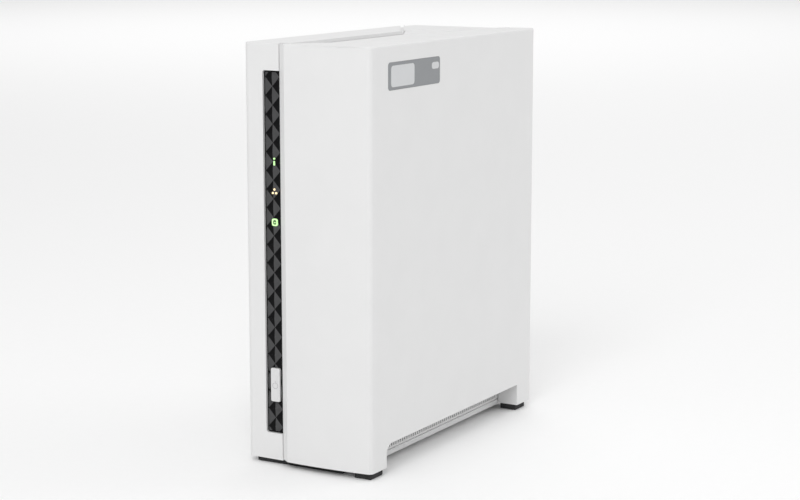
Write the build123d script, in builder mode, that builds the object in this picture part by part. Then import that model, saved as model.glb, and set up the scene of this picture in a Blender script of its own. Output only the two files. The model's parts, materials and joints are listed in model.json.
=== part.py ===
from build123d import *
import math
import os

os.makedirs("parts", exist_ok=True)

# One-bay network storage unit, standing upright.
# +X is the right-hand side seen from the front, the front faces -Y, +Z is up.
# The origin is the middle of the footprint, on the surface that the unit stands on.

# ---------------------------------------------------------------- casing sizes
WIDTH = 66.2
DEPTH = 156.26
HEIGHT = 188.64
HALF_W = WIDTH / 2
FRONT_Y = -DEPTH / 2
REAR_Y = DEPTH / 2
WALL = 2.0
TOP_THICK = 3.2
GAP = 0.3
LEDGE_ROOT = 3.0
LEDGE_REACH = 4.0
LEDGE_THICK = 3.0
LEDGE_INSET = 6.0
LEDGE_REAR = 70.0
COVER_BOTTOM = 2.95
SHELL_BOTTOM = 2.3

# The front is one gentle bow in plan.
BOW_R = 250.0
BOW_X = 4.0

# The narrow left part of the front stands back behind a slanting step.
STEP_BASE = (-13.9, -74.7)
STEP_TOP_X = -9.7
SHELL_FRONT_LEFT_Y = -74.2
SEAM_X = -9.4
SEAM_FRONT_Y = -72.3
STEP_LIP = 0.8
COVER_CORNER_R = 2.5
COVER_RIM_R = 0.8
SHELL_CORNER_R = 3.0
SHELL_RIM_R = 0.7

# Side cut-out under the cover, between its two legs.
CUTOUT_TOP = 13.4
CUTOUT_CORNER = 3.0
LEG_INNER_X = 22.6
FRONT_LEG_END = -63.5
REAR_LEG_START = 64.4

# Base tray and its comb of air slots.
SKIRT_X = 22.2
SKIRT_TOP = 15.6
LEDGE_LOW = 13.8
BASE_THICK = 2.0
BASE_FRONT = -72.0
BASE_REAR = 75.8
SKIRT_THICK = 1.8
GROOVE_Z = 4.9
GROOVE_DEEP = 0.6
GROOVE_TALL = 0.7
COMB_PITCH = 2.0
COMB_SLOT = 1.15
COMB_TALL = 8.2
COMB_Z = 9.9
FLOOR_SLOT = (36.0, 2.4)
FLOOR_SLOT_X = -4.0
FLOOR_SLOT_PITCH = 6.0
FLOOR_SLOTS = 17

# Front window, lens strip and power button.
WINDOW_LEFT = -23.0
WINDOW_RIGHT = -14.2
WINDOW_LOW = 14.4
WINDOW_HIGH = 176.7
WINDOW_CORNER = 1.0
RELIEF_X = -18.65
RELIEF_HALF_W = 3.75
RELIEF_PITCH = 8.25
RELIEF_DEPTH = 0.4
RELIEF_RIM = 0.7
LENS_FIT = 0.1
# The lens's flange: how far it reaches left, right, up and down, and its thickness.
LENS_FLANGE = (1.6, 1.3, 1.8, 0.5)
STRIP_FACE = -73.3
STRIP_BACK = -71.5
ICON_X = -17.9
INFO_Z = 136.9
NETWORK_Z = 123.6
DISK_Z = 109.9
INFO_BAR = (0.6, 1.9)
INFO_DOT_R = 0.4
NETWORK_DOT_R = 0.48
DISK_RING = (2.9, 3.2)
DISK_HOLE = (1.7, 2.0)
ICON_FIT = 0.05
BUTTON_W = 4.8
BUTTON_H = 15.3
BUTTON_Z = 36.5
BUTTON_X = -18.1
BUTTON_FACE = -74.4
BUTTON_TRAVEL = 1.0
BUTTON_CLEAR = 0.2
BUTTON_RING = (1.2, 1.45)
BUTTON_MARK_DEEP = 0.12
FRONT_BOARD_FACE = -64.6

# Rear panel and its interfaces.
PANEL_FACE = REAR_Y
PANEL_BACK = REAR_Y - WALL
PANEL_TOP = 184.9
FAN_SIZE = 50.0
FAN_THICK = 15.0
FAN_Z = 138.0
FAN_FRONT = PANEL_BACK - FAN_THICK
FAN_OPEN_R = 23.6
FAN_SCREW = 20.0
SCREW_X = 26.0
SCREW_ZS = (20.6, 178.9)
CUP_DEPTH = 4.2
CUP_R = 4.4
CUP_WALL_R = 5.6
CUP_FLOOR = 1.6
THUMB_BOSS_R = 4.1
THUMB_BOSS_Y = (62.0, 71.6)
M3_R = 1.5
M3_HOLE = M3_R + 0.05
SINK_R = 2.9
SINK_HEAD_R = 2.7
SINK_DEEP = 1.4
# How far a cutter runs past the face that it cuts.
OVER = 0.5

PANEL_SCREWS = ((-28.0, 9.0), (-28.0, 177.0), (8.0, 9.5))
PANEL_SCREW_LONG = 9.0
PANEL_BOSS_LONG = 12.0
TRAY_BOSS_HALF = 3.5
TRAY_BOSS_LONG = 9.8
BASE_BOSS_X = -28.0
BASE_BOSS_YS = (-45.0, 8.0, 55.0)
BASE_BOSS_TALL = 8.5
BASE_SCREW_LONG = 8.0

# Side label, sunk into the cover.
LABEL_CENTRE = (-39.0, 175.15)
LABEL_LONG = 46.0
LABEL_TALL = 12.0
LABEL_CORNER = 1.6
LABEL_THICK = 0.2
LABEL_SINK = 0.1
LABEL_FIT = 0.1

# Mainboard, standing on posts on the left wall.
BOARD_X = -25.0
BOARD_THICK = 1.6
BOARD_Y = (-62.0, 73.4)
BOARD_Z = (14.0, 168.0)
PAD_YS = (-56.0, 52.0)
PAD_ZS = (34.0, 162.0)
LAN_Z = 62.0
USB_ZS = (84.0, 103.0)
DC_Z = 35.0
RESET_Z = 48.5
PORT_FACE = REAR_Y - 0.3

# 3.5-inch drive, standing on its connector end, and its bracket.
DRIVE_X = 3.4
DRIVE_THICK = 26.1
DRIVE_WIDE = 101.6
DRIVE_LONG = 147.0
DRIVE_Y = -68.0
DRIVE_Z = 26.0
BRACKET_THICK = 1.2
POST_SPOTS = ((-60.0, 177.6), (40.0, 177.6))
PEG_SPOTS = ((-44.0, 30.0), (40.0, 30.0))
POST_R = 3.4
POST_HOLE = 10.2
PEG_R = 1.6
BOSS_R = 3.2


def front_y(x):
    """Y of the bowed front at a given X."""
    return FRONT_Y + BOW_R - math.sqrt(BOW_R**2 - (x - BOW_X) ** 2)


STEP_TOP = (STEP_TOP_X, front_y(STEP_TOP_X))
FRONT_RIGHT = (HALF_W, front_y(HALF_W))
INNER_RIGHT = HALF_W - WALL
step_dx = STEP_TOP[0] - STEP_BASE[0]
step_dy = STEP_TOP[1] - STEP_BASE[1]
step_len = math.hypot(step_dx, step_dy)
step_in = (-step_dy / step_len * WALL, step_dx / step_len * WALL)
STEP_BASE_IN = (STEP_BASE[0] + step_in[0], STEP_BASE[1] + step_in[1])
STEP_TOP_IN = (STEP_TOP[0] + step_in[0], front_y(STEP_TOP[0]) + WALL)


def box_between(low, high, mode=Mode.ADD):
    """A box from its lowest corner to its highest, in the current part."""
    size = [high[i] - low[i] for i in range(3)]
    middle = tuple((high[i] + low[i]) / 2 for i in range(3))
    with Locations(middle):
        Box(*size, mode=mode)


# ---------------------------------------------------------------- top facets
# The cover's top falls away from its right edge to the seam, behind a slanting lip.
SCOOP_DROP = 1.6
HINGE_X = 21.0
ARC_LEFT = 9.0
ARC_RIGHT = 31.5
LIP_START = (-8.5, -73.8)
LIP_END = (28.0, -29.0)
LIP_SLOPE = 12.0
V_APEX = (-9.5, 27.0)
V_ANGLE = 30.0
REAR_TILT = 0.6
V_FACE_SLOPE = 35.0
SLIT_CENTRE = (27.0, 1.4)
SLIT_LONG = 58.0
SLIT_WIDE = 1.6
SLIT_DEEP = 1.0
CUT_ABOVE = 4.0

scoop_slope = SCOOP_DROP / (HINGE_X - SEAM_X)
arc_low = HEIGHT - (HINGE_X - ARC_LEFT) * scoop_slope
arc_chord = ARC_RIGHT - ARC_LEFT
chord_angle = math.atan2(HEIGHT - arc_low, arc_chord)
arc_rise = arc_chord * math.tan((math.atan(scoop_slope) - chord_angle) / 2) / 2
scoop_left = SEAM_X - CUT_ABOVE
scoop_low = HEIGHT - (HINGE_X - scoop_left) * scoop_slope
scoop_high = HEIGHT + CUT_ABOVE

with BuildPart() as top_scoop:
    with BuildSketch(Plane.XZ.offset(-REAR_Y - OVER)):
        with BuildLine():
            Line((scoop_left, scoop_high), (scoop_left, scoop_low))
            Line((scoop_left, scoop_low), (ARC_LEFT, arc_low))
            ThreePointArc(
                (ARC_LEFT, arc_low),
                ((ARC_LEFT + ARC_RIGHT) / 2, (arc_low + HEIGHT) / 2 + arc_rise),
                (ARC_RIGHT, HEIGHT),
            )
            Line((ARC_RIGHT, HEIGHT), (ARC_RIGHT, scoop_high))
            Line((ARC_RIGHT, scoop_high), (scoop_left, scoop_high))
        make_face()
    extrude(amount=DEPTH + 2 * OVER)
    # the slanting front lip: a ramp that goes down from the line LIP_START - LIP_END
    lip_dx = LIP_END[0] - LIP_START[0]
    lip_dy = LIP_END[1] - LIP_START[1]
    lip_dir = Vector(lip_dx, lip_dy, 0).normalized()
    lip_down = Vector(-lip_dir.Y, lip_dir.X, 0)
    ramp = math.radians(LIP_SLOPE)
    ramp_normal = Vector(0, 0, 1) * math.cos(ramp) + lip_down * math.sin(ramp)
    ramp_plane = Plane(origin=(LIP_START[0], LIP_START[1], HEIGHT), x_dir=lip_dir, z_dir=ramp_normal)
    split(bisect_by=ramp_plane, keep=Keep.TOP)
    # the rear of the top stays full height behind the right arm of the V
    v_turn = math.radians(V_ANGLE)
    v_lean = math.radians(V_FACE_SLOPE)
    v_right = Vector(math.sin(v_turn), math.cos(v_turn), 0)
    v_face = Vector(math.cos(v_turn), -math.sin(v_turn), 0)
    v_slope = v_face * math.cos(v_lean) + Vector(0, 0, 1) * math.sin(v_lean)
    v_plane = Plane(origin=(V_APEX[0], V_APEX[1], HEIGHT), x_dir=v_right, z_dir=v_slope)
    split(bisect_by=v_plane, keep=Keep.TOP)

# The V behind its apex leans back a little, on the cover and on the left shell.
with BuildPart() as rear_facet:
    arm_end = REAR_Y + OVER
    arm = (arm_end - V_APEX[1]) / math.cos(v_turn)
    with BuildSketch(Plane.XY.offset(HEIGHT - CUT_ABOVE / 2)):
        with BuildLine():
            Polyline(
                V_APEX,
                (V_APEX[0] + arm * math.sin(v_turn), arm_end),
                (V_APEX[0] - arm * math.sin(v_turn), arm_end),
                close=True,
            )
        make_face()
    extrude(amount=CUT_ABOVE)
    tilt = math.radians(REAR_TILT)
    facet_plane = Plane(
        origin=(V_APEX[0], V_APEX[1], HEIGHT), x_dir=(1, 0, 0), z_dir=(0, math.sin(tilt), math.cos(tilt))
    )
    split(bisect_by=facet_plane, keep=Keep.TOP)

# ---------------------------------------------------------------- right cover
with BuildPart() as right_cover:
    # front step, bowed front and right side, as one wall in plan
    with BuildSketch(Plane.XY.offset(COVER_BOTTOM)):
        with BuildLine():
            Line(STEP_BASE, STEP_TOP)
            ThreePointArc(STEP_TOP, (BOW_X, FRONT_Y), FRONT_RIGHT)
            Line(FRONT_RIGHT, (HALF_W, REAR_Y))
            Line((HALF_W, REAR_Y), (INNER_RIGHT, REAR_Y))
            Line((INNER_RIGHT, REAR_Y), (INNER_RIGHT, front_y(INNER_RIGHT) + WALL))
            ThreePointArc(
                (INNER_RIGHT, front_y(INNER_RIGHT) + WALL), (BOW_X, FRONT_Y + WALL), STEP_TOP_IN
            )
            Line(STEP_TOP_IN, STEP_BASE_IN)
            Line(STEP_BASE_IN, STEP_BASE)
        make_face()
    extrude(amount=HEIGHT - COVER_BOTTOM)
    # side cut-out with its slanting front corner
    with BuildSketch(Plane.YZ.offset(INNER_RIGHT - 1.0)):
        with BuildLine():
            Polyline(
                (FRONT_LEG_END, COVER_BOTTOM - OVER),
                (FRONT_LEG_END, CUTOUT_TOP - CUTOUT_CORNER),
                (FRONT_LEG_END + CUTOUT_CORNER, CUTOUT_TOP),
                (REAR_LEG_START, CUTOUT_TOP),
                (REAR_LEG_START, COVER_BOTTOM - OVER),
                close=True,
            )
        make_face()
    extrude(amount=WALL + 2.0, mode=Mode.SUBTRACT)
    # top plate
    with BuildSketch(Plane.XY.offset(HEIGHT - TOP_THICK)):
        with BuildLine():
            Line(STEP_BASE, STEP_TOP)
            ThreePointArc(STEP_TOP, (BOW_X, FRONT_Y), FRONT_RIGHT)
            Line(FRONT_RIGHT, (HALF_W, REAR_Y))
            Line((HALF_W, REAR_Y), (SEAM_X, REAR_Y))
            Line((SEAM_X, REAR_Y), (SEAM_X, SEAM_FRONT_Y))
            Line((SEAM_X, SEAM_FRONT_Y), (STEP_BASE[0] + STEP_LIP, SEAM_FRONT_Y))
            Line((STEP_BASE[0] + STEP_LIP, SEAM_FRONT_Y), STEP_BASE)
        make_face()
    extrude(amount=TOP_THICK)
    # rounded front corner, then the softened rim of the top
    corner = right_cover.edges().filter_by(Axis.Z).filter_by(lambda e: e.center().X > HALF_W - 0.01)
    fillet(corner.sort_by(Axis.Y)[0:1], radius=COVER_CORNER_R)
    rim = right_cover.faces().sort_by(Axis.Z)[-1].edges()
    rim = rim.filter_by(lambda e: e.center().X > STEP_TOP_X and e.center().Y < REAR_Y - 1.0)
    rim = rim.filter_by(lambda e: e.center().X > SEAM_X + 1.0 or e.center().Y < STEP_BASE[1])
    fillet(rim, radius=COVER_RIM_R)
    # legs: box corners that carry the two right-hand feet
    for leg_low, leg_high in ((front_y(LEG_INNER_X) + 1.0, FRONT_LEG_END), (REAR_LEG_START, REAR_Y)):
        box_between((LEG_INNER_X, leg_low, COVER_BOTTOM), (HALF_W - 1.0, leg_high, CUTOUT_TOP))
        box_between(
            (LEG_INNER_X + WALL, leg_low + WALL, COVER_BOTTOM + WALL),
            (INNER_RIGHT, leg_high - WALL, CUTOUT_TOP + 1.0),
            mode=Mode.SUBTRACT,
        )
    # bosses that the two thumb screws hold
    for boss_z in SCREW_ZS:
        box_between(
            (SCREW_X, THUMB_BOSS_Y[0], boss_z - THUMB_BOSS_R),
            (INNER_RIGHT + OVER, THUMB_BOSS_Y[1], boss_z + THUMB_BOSS_R),
        )
        with BuildSketch(Plane.XZ.offset(-THUMB_BOSS_Y[1])):
            with Locations((SCREW_X, boss_z)):
                Circle(THUMB_BOSS_R)
        extrude(amount=THUMB_BOSS_Y[1] - THUMB_BOSS_Y[0])
    for boss_z in SCREW_ZS:
        with BuildSketch(Plane.XZ.offset(-THUMB_BOSS_Y[1] - OVER)):
            with Locations((SCREW_X, boss_z)):
                Circle(M3_HOLE)
        extrude(amount=THUMB_BOSS_Y[1] - THUMB_BOSS_Y[0] + 2 * OVER, mode=Mode.SUBTRACT)
    add(top_scoop.part, mode=Mode.SUBTRACT)
    add(rear_facet.part, mode=Mode.SUBTRACT)
    # pocket that sinks the side label
    with BuildSketch(Plane.YZ.offset(HALF_W - LABEL_SINK - LABEL_THICK)):
        with Locations(LABEL_CENTRE):
            RectangleRounded(LABEL_LONG + LABEL_FIT, LABEL_TALL + LABEL_FIT, LABEL_CORNER)
    extrude(amount=LABEL_THICK + LABEL_SINK + OVER, mode=Mode.SUBTRACT)
right_cover.part.label = "right_cover"
export_step(right_cover.part, "parts/right_cover.step")

# ---------------------------------------------------------------- left shell
shell_corner = (-HALF_W, SHELL_FRONT_LEFT_Y)
shell_end = (STEP_BASE[0] - GAP, STEP_BASE[1])

with BuildPart() as left_shell:
    with BuildSketch(Plane.XY.offset(SHELL_BOTTOM)):
        with BuildLine():
            Polyline(
                shell_end,
                shell_corner,
                (-HALF_W, REAR_Y),
                (-HALF_W + WALL, REAR_Y),
                (-HALF_W + WALL, SHELL_FRONT_LEFT_Y + WALL),
                (shell_end[0], shell_end[1] + WALL),
                close=True,
            )
        make_face()
    extrude(amount=HEIGHT - SHELL_BOTTOM)
    # flat strip of the top, up to the seam
    with BuildSketch(Plane.XY.offset(HEIGHT - TOP_THICK)):
        with BuildLine():
            Polyline(
                shell_end,
                shell_corner,
                (-HALF_W, REAR_Y),
                (SEAM_X - GAP, REAR_Y),
                (SEAM_X - GAP, SEAM_FRONT_Y + GAP),
                (shell_end[0], SEAM_FRONT_Y + GAP),
                close=True,
            )
        make_face()
    extrude(amount=TOP_THICK)
    corner = left_shell.edges().filter_by(Axis.Z).filter_by(lambda e: e.center().X < -HALF_W + 0.01)
    fillet(corner.sort_by(Axis.Y)[0:1], radius=SHELL_CORNER_R)
    rim = left_shell.faces().sort_by(Axis.Z)[-1].edges()
    rim = rim.filter_by(lambda e: e.center().Y < REAR_Y - 1.0 and e.center().X < STEP_BASE[0] - 1.0)
    rim = rim.filter_by(lambda e: e.center().X < -HALF_W + 4.0 or e.center().Y < -70.0)
    fillet(rim, radius=SHELL_RIM_R)
    # ledge under the edge of the cover's top
    top_under = HEIGHT - TOP_THICK
    ledge_low = (SEAM_X - LEDGE_ROOT, SEAM_FRONT_Y + LEDGE_INSET, top_under - LEDGE_THICK)
    box_between(ledge_low, (SEAM_X + LEDGE_REACH, LEDGE_REAR, top_under - GAP))
    box_between(ledge_low, (SEAM_X - GAP, LEDGE_REAR, top_under))
    # front window, open towards the step
    window_end = WINDOW_RIGHT + WALL
    with BuildSketch(Plane.XZ.offset(-SHELL_FRONT_LEFT_Y - WALL)):
        with Locations(((WINDOW_LEFT + window_end) / 2, (WINDOW_LOW + WINDOW_HIGH) / 2)):
            RectangleRounded(window_end - WINDOW_LEFT, WINDOW_HIGH - WINDOW_LOW, WINDOW_CORNER)
    extrude(amount=2 * WALL, both=True, mode=Mode.SUBTRACT)
    # posts for the drive bracket and pads for the mainboard
    post_root = -HALF_W + WALL / 2
    bracket_back = DRIVE_X - BRACKET_THICK
    for post in POST_SPOTS + PEG_SPOTS:
        with BuildSketch(Plane.YZ.offset(post_root)):
            with Locations(post):
                Circle(POST_R)
        extrude(amount=bracket_back - post_root)
    for post in POST_SPOTS:
        with BuildSketch(Plane.YZ.offset(bracket_back - POST_HOLE)):
            with Locations(post):
                Circle(M3_HOLE)
        extrude(amount=POST_HOLE + OVER, mode=Mode.SUBTRACT)
    for post in PEG_SPOTS:
        with BuildSketch(Plane.YZ.offset(bracket_back)):
            with Locations(post):
                Circle(PEG_R)
        extrude(amount=BRACKET_THICK - 0.1)
    for pad_y in PAD_YS:
        for pad_z in PAD_ZS:
            with BuildSketch(Plane.YZ.offset(post_root)):
                with Locations((pad_y, pad_z)):
                    Circle(BOSS_R)
            extrude(amount=BOARD_X - BOARD_THICK - post_root)
            with BuildSketch(Plane.YZ.offset(-HALF_W + WALL + 0.4)):
                with Locations((pad_y, pad_z)):
                    Circle(M3_HOLE)
            extrude(amount=BOARD_X + HALF_W - WALL, mode=Mode.SUBTRACT)
    # bosses for the rear panel's screws
    for boss_x, boss_z in PANEL_SCREWS[:2]:
        with BuildSketch(Plane.XZ.offset(-BASE_REAR)):
            with Locations((boss_x, boss_z)):
                Circle(BOSS_R)
        extrude(amount=PANEL_BOSS_LONG)
        with BuildSketch(Plane.XZ.offset(-BASE_REAR - OVER)):
            with Locations((boss_x, boss_z)):
                Circle(M3_HOLE)
        extrude(amount=PANEL_BOSS_LONG - 1.0, mode=Mode.SUBTRACT)
    # bosses that the base tray is screwed to
    for boss_y in BASE_BOSS_YS:
        with BuildSketch(Plane.XY.offset(SHELL_BOTTOM + BASE_THICK)):
            with Locations((BASE_BOSS_X, boss_y)):
                Circle(BOSS_R)
        extrude(amount=BASE_BOSS_TALL)
        with BuildSketch(Plane.XY.offset(SHELL_BOTTOM + BASE_THICK - OVER)):
            with Locations((BASE_BOSS_X, boss_y)):
                Circle(M3_HOLE)
        extrude(amount=BASE_BOSS_TALL - 1.0, mode=Mode.SUBTRACT)
    # slanting slit across the top strip, along the left arm of the V
    slit_dir = Vector(-math.sin(v_turn), math.cos(v_turn), 0)
    slit_plane = Plane(origin=(V_APEX[0], V_APEX[1], HEIGHT + OVER), x_dir=slit_dir, z_dir=(0, 0, 1))
    add(rear_facet.part, mode=Mode.SUBTRACT)
    with BuildSketch(slit_plane):
        with Locations(SLIT_CENTRE):
            Rectangle(SLIT_LONG, SLIT_WIDE)
    extrude(amount=-SLIT_DEEP - OVER, mode=Mode.SUBTRACT)
left_shell.part.label = "left_shell"
export_step(left_shell.part, "parts/left_shell.step")

# ---------------------------------------------------------------- base tray
BASE_LEFT = -HALF_W + WALL
with BuildPart() as base_tray:
    box_between((BASE_LEFT, BASE_FRONT, SHELL_BOTTOM), (SKIRT_X, BASE_REAR, SHELL_BOTTOM + BASE_THICK))
    box_between((SKIRT_X - SKIRT_THICK, BASE_FRONT, SHELL_BOTTOM), (SKIRT_X, BASE_REAR, SKIRT_TOP))
    # ledge that closes the space above the cut-out, over the cover's legs
    box_between((SKIRT_X - SKIRT_THICK, BASE_FRONT, LEDGE_LOW), (INNER_RIGHT - GAP, BASE_REAR, SKIRT_TOP))
    # a shadow groove runs under the comb
    with BuildSketch(Plane.XZ.offset(-BASE_REAR)):
        with Locations((SKIRT_X, GROOVE_Z)):
            Rectangle(2 * GROOVE_DEEP, GROOVE_TALL)
    extrude(amount=BASE_REAR - BASE_FRONT, mode=Mode.SUBTRACT)
    # comb of upright air slots
    comb_count = int((REAR_LEG_START - FRONT_LEG_END) / COMB_PITCH) - 1
    with BuildSketch(Plane.YZ.offset(SKIRT_X - SKIRT_THICK - OVER)):
        with Locations(((REAR_LEG_START + FRONT_LEG_END) / 2, COMB_Z)):
            with GridLocations(COMB_PITCH, COMB_TALL, comb_count, 1):
                SlotOverall(COMB_TALL, COMB_SLOT, rotation=90)
    extrude(amount=SKIRT_THICK + 2 * OVER, mode=Mode.SUBTRACT)
    # air slots in the floor
    with BuildSketch(Plane.XY.offset(SHELL_BOTTOM - OVER)):
        with Locations((FLOOR_SLOT_X, 0.0)):
            with GridLocations(FLOOR_SLOT[0], FLOOR_SLOT_PITCH, 1, FLOOR_SLOTS):
                SlotOverall(*FLOOR_SLOT)
    extrude(amount=BASE_THICK + 2 * OVER, mode=Mode.SUBTRACT)
    # rear boss for the panel's third screw, and holes for the tray's own screws
    tray_boss_x, tray_boss_z = PANEL_SCREWS[2]
    box_between(
        (tray_boss_x - TRAY_BOSS_HALF, BASE_REAR - TRAY_BOSS_LONG, SHELL_BOTTOM + BASE_THICK - 0.3),
        (tray_boss_x + TRAY_BOSS_HALF, BASE_REAR, tray_boss_z + TRAY_BOSS_HALF + 0.2),
    )
    with BuildSketch(Plane.XZ.offset(-BASE_REAR - OVER)):
        with Locations((tray_boss_x, tray_boss_z)):
            Circle(M3_HOLE)
    extrude(amount=PANEL_SCREW_LONG, mode=Mode.SUBTRACT)
    for boss_y in BASE_BOSS_YS:
        hole_plane = Plane(origin=(BASE_BOSS_X, boss_y, SHELL_BOTTOM), x_dir=(1, 0, 0), z_dir=(0, 0, -1))
        with Locations(hole_plane):
            CounterSinkHole(radius=M3_HOLE, counter_sink_radius=SINK_R, depth=BASE_THICK + 2 * OVER)
base_tray.part.label = "base_tray"
export_step(base_tray.part, "parts/base_tray.step")

# ---------------------------------------------------------------- rubber feet
STRIP_FOOT_X = (-28.9, 16.0)
STRIP_FOOT_Y = ((-72.6, -64.6), (65.4, 73.4))
FOOT_CHAMFER = 0.3
FOOT_CORNER_R = 0.6
foot_names = ("front_strip_foot", "rear_strip_foot")
for foot_name, foot_y in zip(foot_names, STRIP_FOOT_Y):
    with BuildPart() as strip_foot:
        box_between((STRIP_FOOT_X[0], foot_y[0], 0.0), (STRIP_FOOT_X[1], foot_y[1], SHELL_BOTTOM))
        chamfer(strip_foot.faces().sort_by(Axis.Z)[0].edges(), length=FOOT_CHAMFER)
    strip_foot.part.label = foot_name
    export_step(strip_foot.part, "parts/" + foot_name + ".step")

PAD_FOOT_X = (23.1, 31.8)
PAD_FOOT_Y = ((-74.9, -64.6), (65.4, 75.4))
foot_names = ("front_right_foot", "rear_right_foot")
for foot_name, foot_y in zip(foot_names, PAD_FOOT_Y):
    with BuildPart() as pad_foot:
        box_between((PAD_FOOT_X[0], foot_y[0], 0.0), (PAD_FOOT_X[1], foot_y[1], COVER_BOTTOM))
        chamfer(pad_foot.faces().sort_by(Axis.Z)[0].edges(), length=FOOT_CHAMFER)
        fillet(pad_foot.edges().filter_by(Axis.Z), radius=FOOT_CORNER_R)
    pad_foot.part.label = foot_name
    export_step(pad_foot.part, "parts/" + foot_name + ".step")

# ---------------------------------------------------------------- lens strip
zig_half = 2 * RELIEF_HALF_W * (RELIEF_PITCH / 2) / math.hypot(RELIEF_HALF_W, RELIEF_PITCH / 2)
strip_middle_z = (WINDOW_LOW + WINDOW_HIGH) / 2
strip_height = WINDOW_HIGH - WINDOW_LOW

crossing_z = strip_middle_z + RELIEF_PITCH / 2
ridge_count = 36
ridge_reach = 130.0
sheet_back = 2.0

ridge_sets = []
for side in (-1, 1):
    ridge_angle = math.atan2(RELIEF_PITCH / 2, RELIEF_HALF_W) * side
    along = Vector(math.cos(ridge_angle), 0, math.sin(ridge_angle))
    across = Vector(-math.sin(ridge_angle), 0, math.cos(ridge_angle))
    # one saw-tooth sheet: its ridges run along the edges of the diamonds
    with BuildPart() as ridges:
        origin = Vector(RELIEF_X, STRIP_FACE, crossing_z) - along * ridge_reach
        with BuildSketch(Plane(origin=origin, x_dir=across, z_dir=along)):
            with BuildLine():
                points = []
                for k in range(-ridge_count, ridge_count + 1):
                    height = 0.0 if k % 2 else RELIEF_DEPTH
                    points.append((k * zig_half / 2, height))
                edge = ridge_count * zig_half / 2
                Polyline(*points, (edge, -sheet_back), (-edge, -sheet_back), close=True)
            make_face()
        extrude(amount=2 * ridge_reach)
    ridge_sets.append(ridges.part)


def info_icon(grow=0.0):
    """A short bar with a dot above it."""
    with Locations((ICON_X, INFO_Z - 0.8)):
        Rectangle(INFO_BAR[0] + 2 * grow, INFO_BAR[1] + 2 * grow)
    with Locations((ICON_X, INFO_Z + 1.2)):
        Circle(INFO_DOT_R + grow)


def network_icon(grow=0.0):
    """Three dots in a triangle."""
    for dot_x, dot_z in ((0.0, 0.9), (-0.85, -0.7), (0.85, -0.7)):
        with Locations((ICON_X + dot_x, NETWORK_Z + dot_z)):
            Circle(NETWORK_DOT_R + grow)


def disk_icon(grow=0.0):
    """A rounded square."""
    with Locations((ICON_X, DISK_Z)):
        RectangleRounded(DISK_RING[0] + 2 * grow, DISK_RING[1] + 2 * grow, 0.8)


with BuildPart() as lens_strip:
    box_between(
        (WINDOW_LEFT + RELIEF_RIM, STRIP_FACE - 2 * RELIEF_DEPTH, WINDOW_LOW + RELIEF_RIM),
        (WINDOW_RIGHT, STRIP_BACK, WINDOW_HIGH - RELIEF_RIM),
    )
    add(ridge_sets[0], mode=Mode.INTERSECT)
    add(ridge_sets[1], mode=Mode.INTERSECT)
    # plain rim round the relief, and a flange behind the shell's front
    rim_wide = WINDOW_RIGHT - WINDOW_LEFT - LENS_FIT
    rim_tall = strip_height - 2 * LENS_FIT
    with BuildSketch(Plane.XZ.offset(-STRIP_BACK)):
        with Locations((WINDOW_RIGHT - rim_wide / 2, strip_middle_z)):
            RectangleRounded(rim_wide, rim_tall, WINDOW_CORNER)
        with Locations((WINDOW_RIGHT - rim_wide / 4, strip_middle_z)):
            Rectangle(rim_wide / 2, rim_tall)
    extrude(amount=STRIP_BACK - STRIP_FACE)
    box_between(
        (WINDOW_LEFT - LENS_FLANGE[0], STRIP_BACK - LENS_FLANGE[3], WINDOW_LOW - LENS_FLANGE[2]),
        (WINDOW_RIGHT + LENS_FLANGE[1], STRIP_BACK, WINDOW_HIGH + LENS_FLANGE[2]),
    )
    with BuildSketch(Plane.XZ.offset(-STRIP_BACK - OVER)):
        info_icon(grow=ICON_FIT)
        network_icon(grow=ICON_FIT)
        disk_icon(grow=ICON_FIT)
        with Locations((BUTTON_X, BUTTON_Z)):
            RectangleRounded(BUTTON_W + 2 * BUTTON_CLEAR, BUTTON_H + 2 * BUTTON_CLEAR, 1.0)
    extrude(amount=STRIP_BACK - STRIP_FACE + 2 * RELIEF_DEPTH + 2 * OVER, mode=Mode.SUBTRACT)
lens_strip.part.label = "lens_strip"
export_step(lens_strip.part, "parts/lens_strip.step")

# ---------------------------------------------------------------- light pipes
PIPE_FACE = STRIP_FACE - RELIEF_DEPTH - 0.05
PIPE_BACK = FRONT_BOARD_FACE - 1.2
PIPE_FOOT = (4.0, 1.0, 5.2)
LED_SIZE = (1.6, 0.9, 3.0)
icons = (
    ("info_light_pipe", info_icon, INFO_Z),
    ("network_light_pipe", network_icon, NETWORK_Z),
    ("disk_light_pipe", disk_icon, DISK_Z),
)
for pipe_name, draw_icon, pipe_z in icons:
    with BuildPart() as light_pipe:
        with BuildSketch(Plane.XZ.offset(-PIPE_BACK)):
            draw_icon()
        extrude(amount=PIPE_BACK - PIPE_FACE)
        if draw_icon is disk_icon:
            with BuildSketch(Plane.XZ.offset(-STRIP_FACE)):
                with Locations((ICON_X, DISK_Z)):
                    RectangleRounded(*DISK_HOLE, 0.5)
            extrude(amount=STRIP_FACE - PIPE_FACE + OVER, mode=Mode.SUBTRACT)
        box_between(
            (ICON_X - PIPE_FOOT[0] / 2, PIPE_BACK - PIPE_FOOT[1], pipe_z - PIPE_FOOT[2] / 2),
            (ICON_X + PIPE_FOOT[0] / 2, PIPE_BACK, pipe_z + PIPE_FOOT[2] / 2),
        )
    light_pipe.part.label = pipe_name
    export_step(light_pipe.part, "parts/" + pipe_name + ".step")

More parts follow.
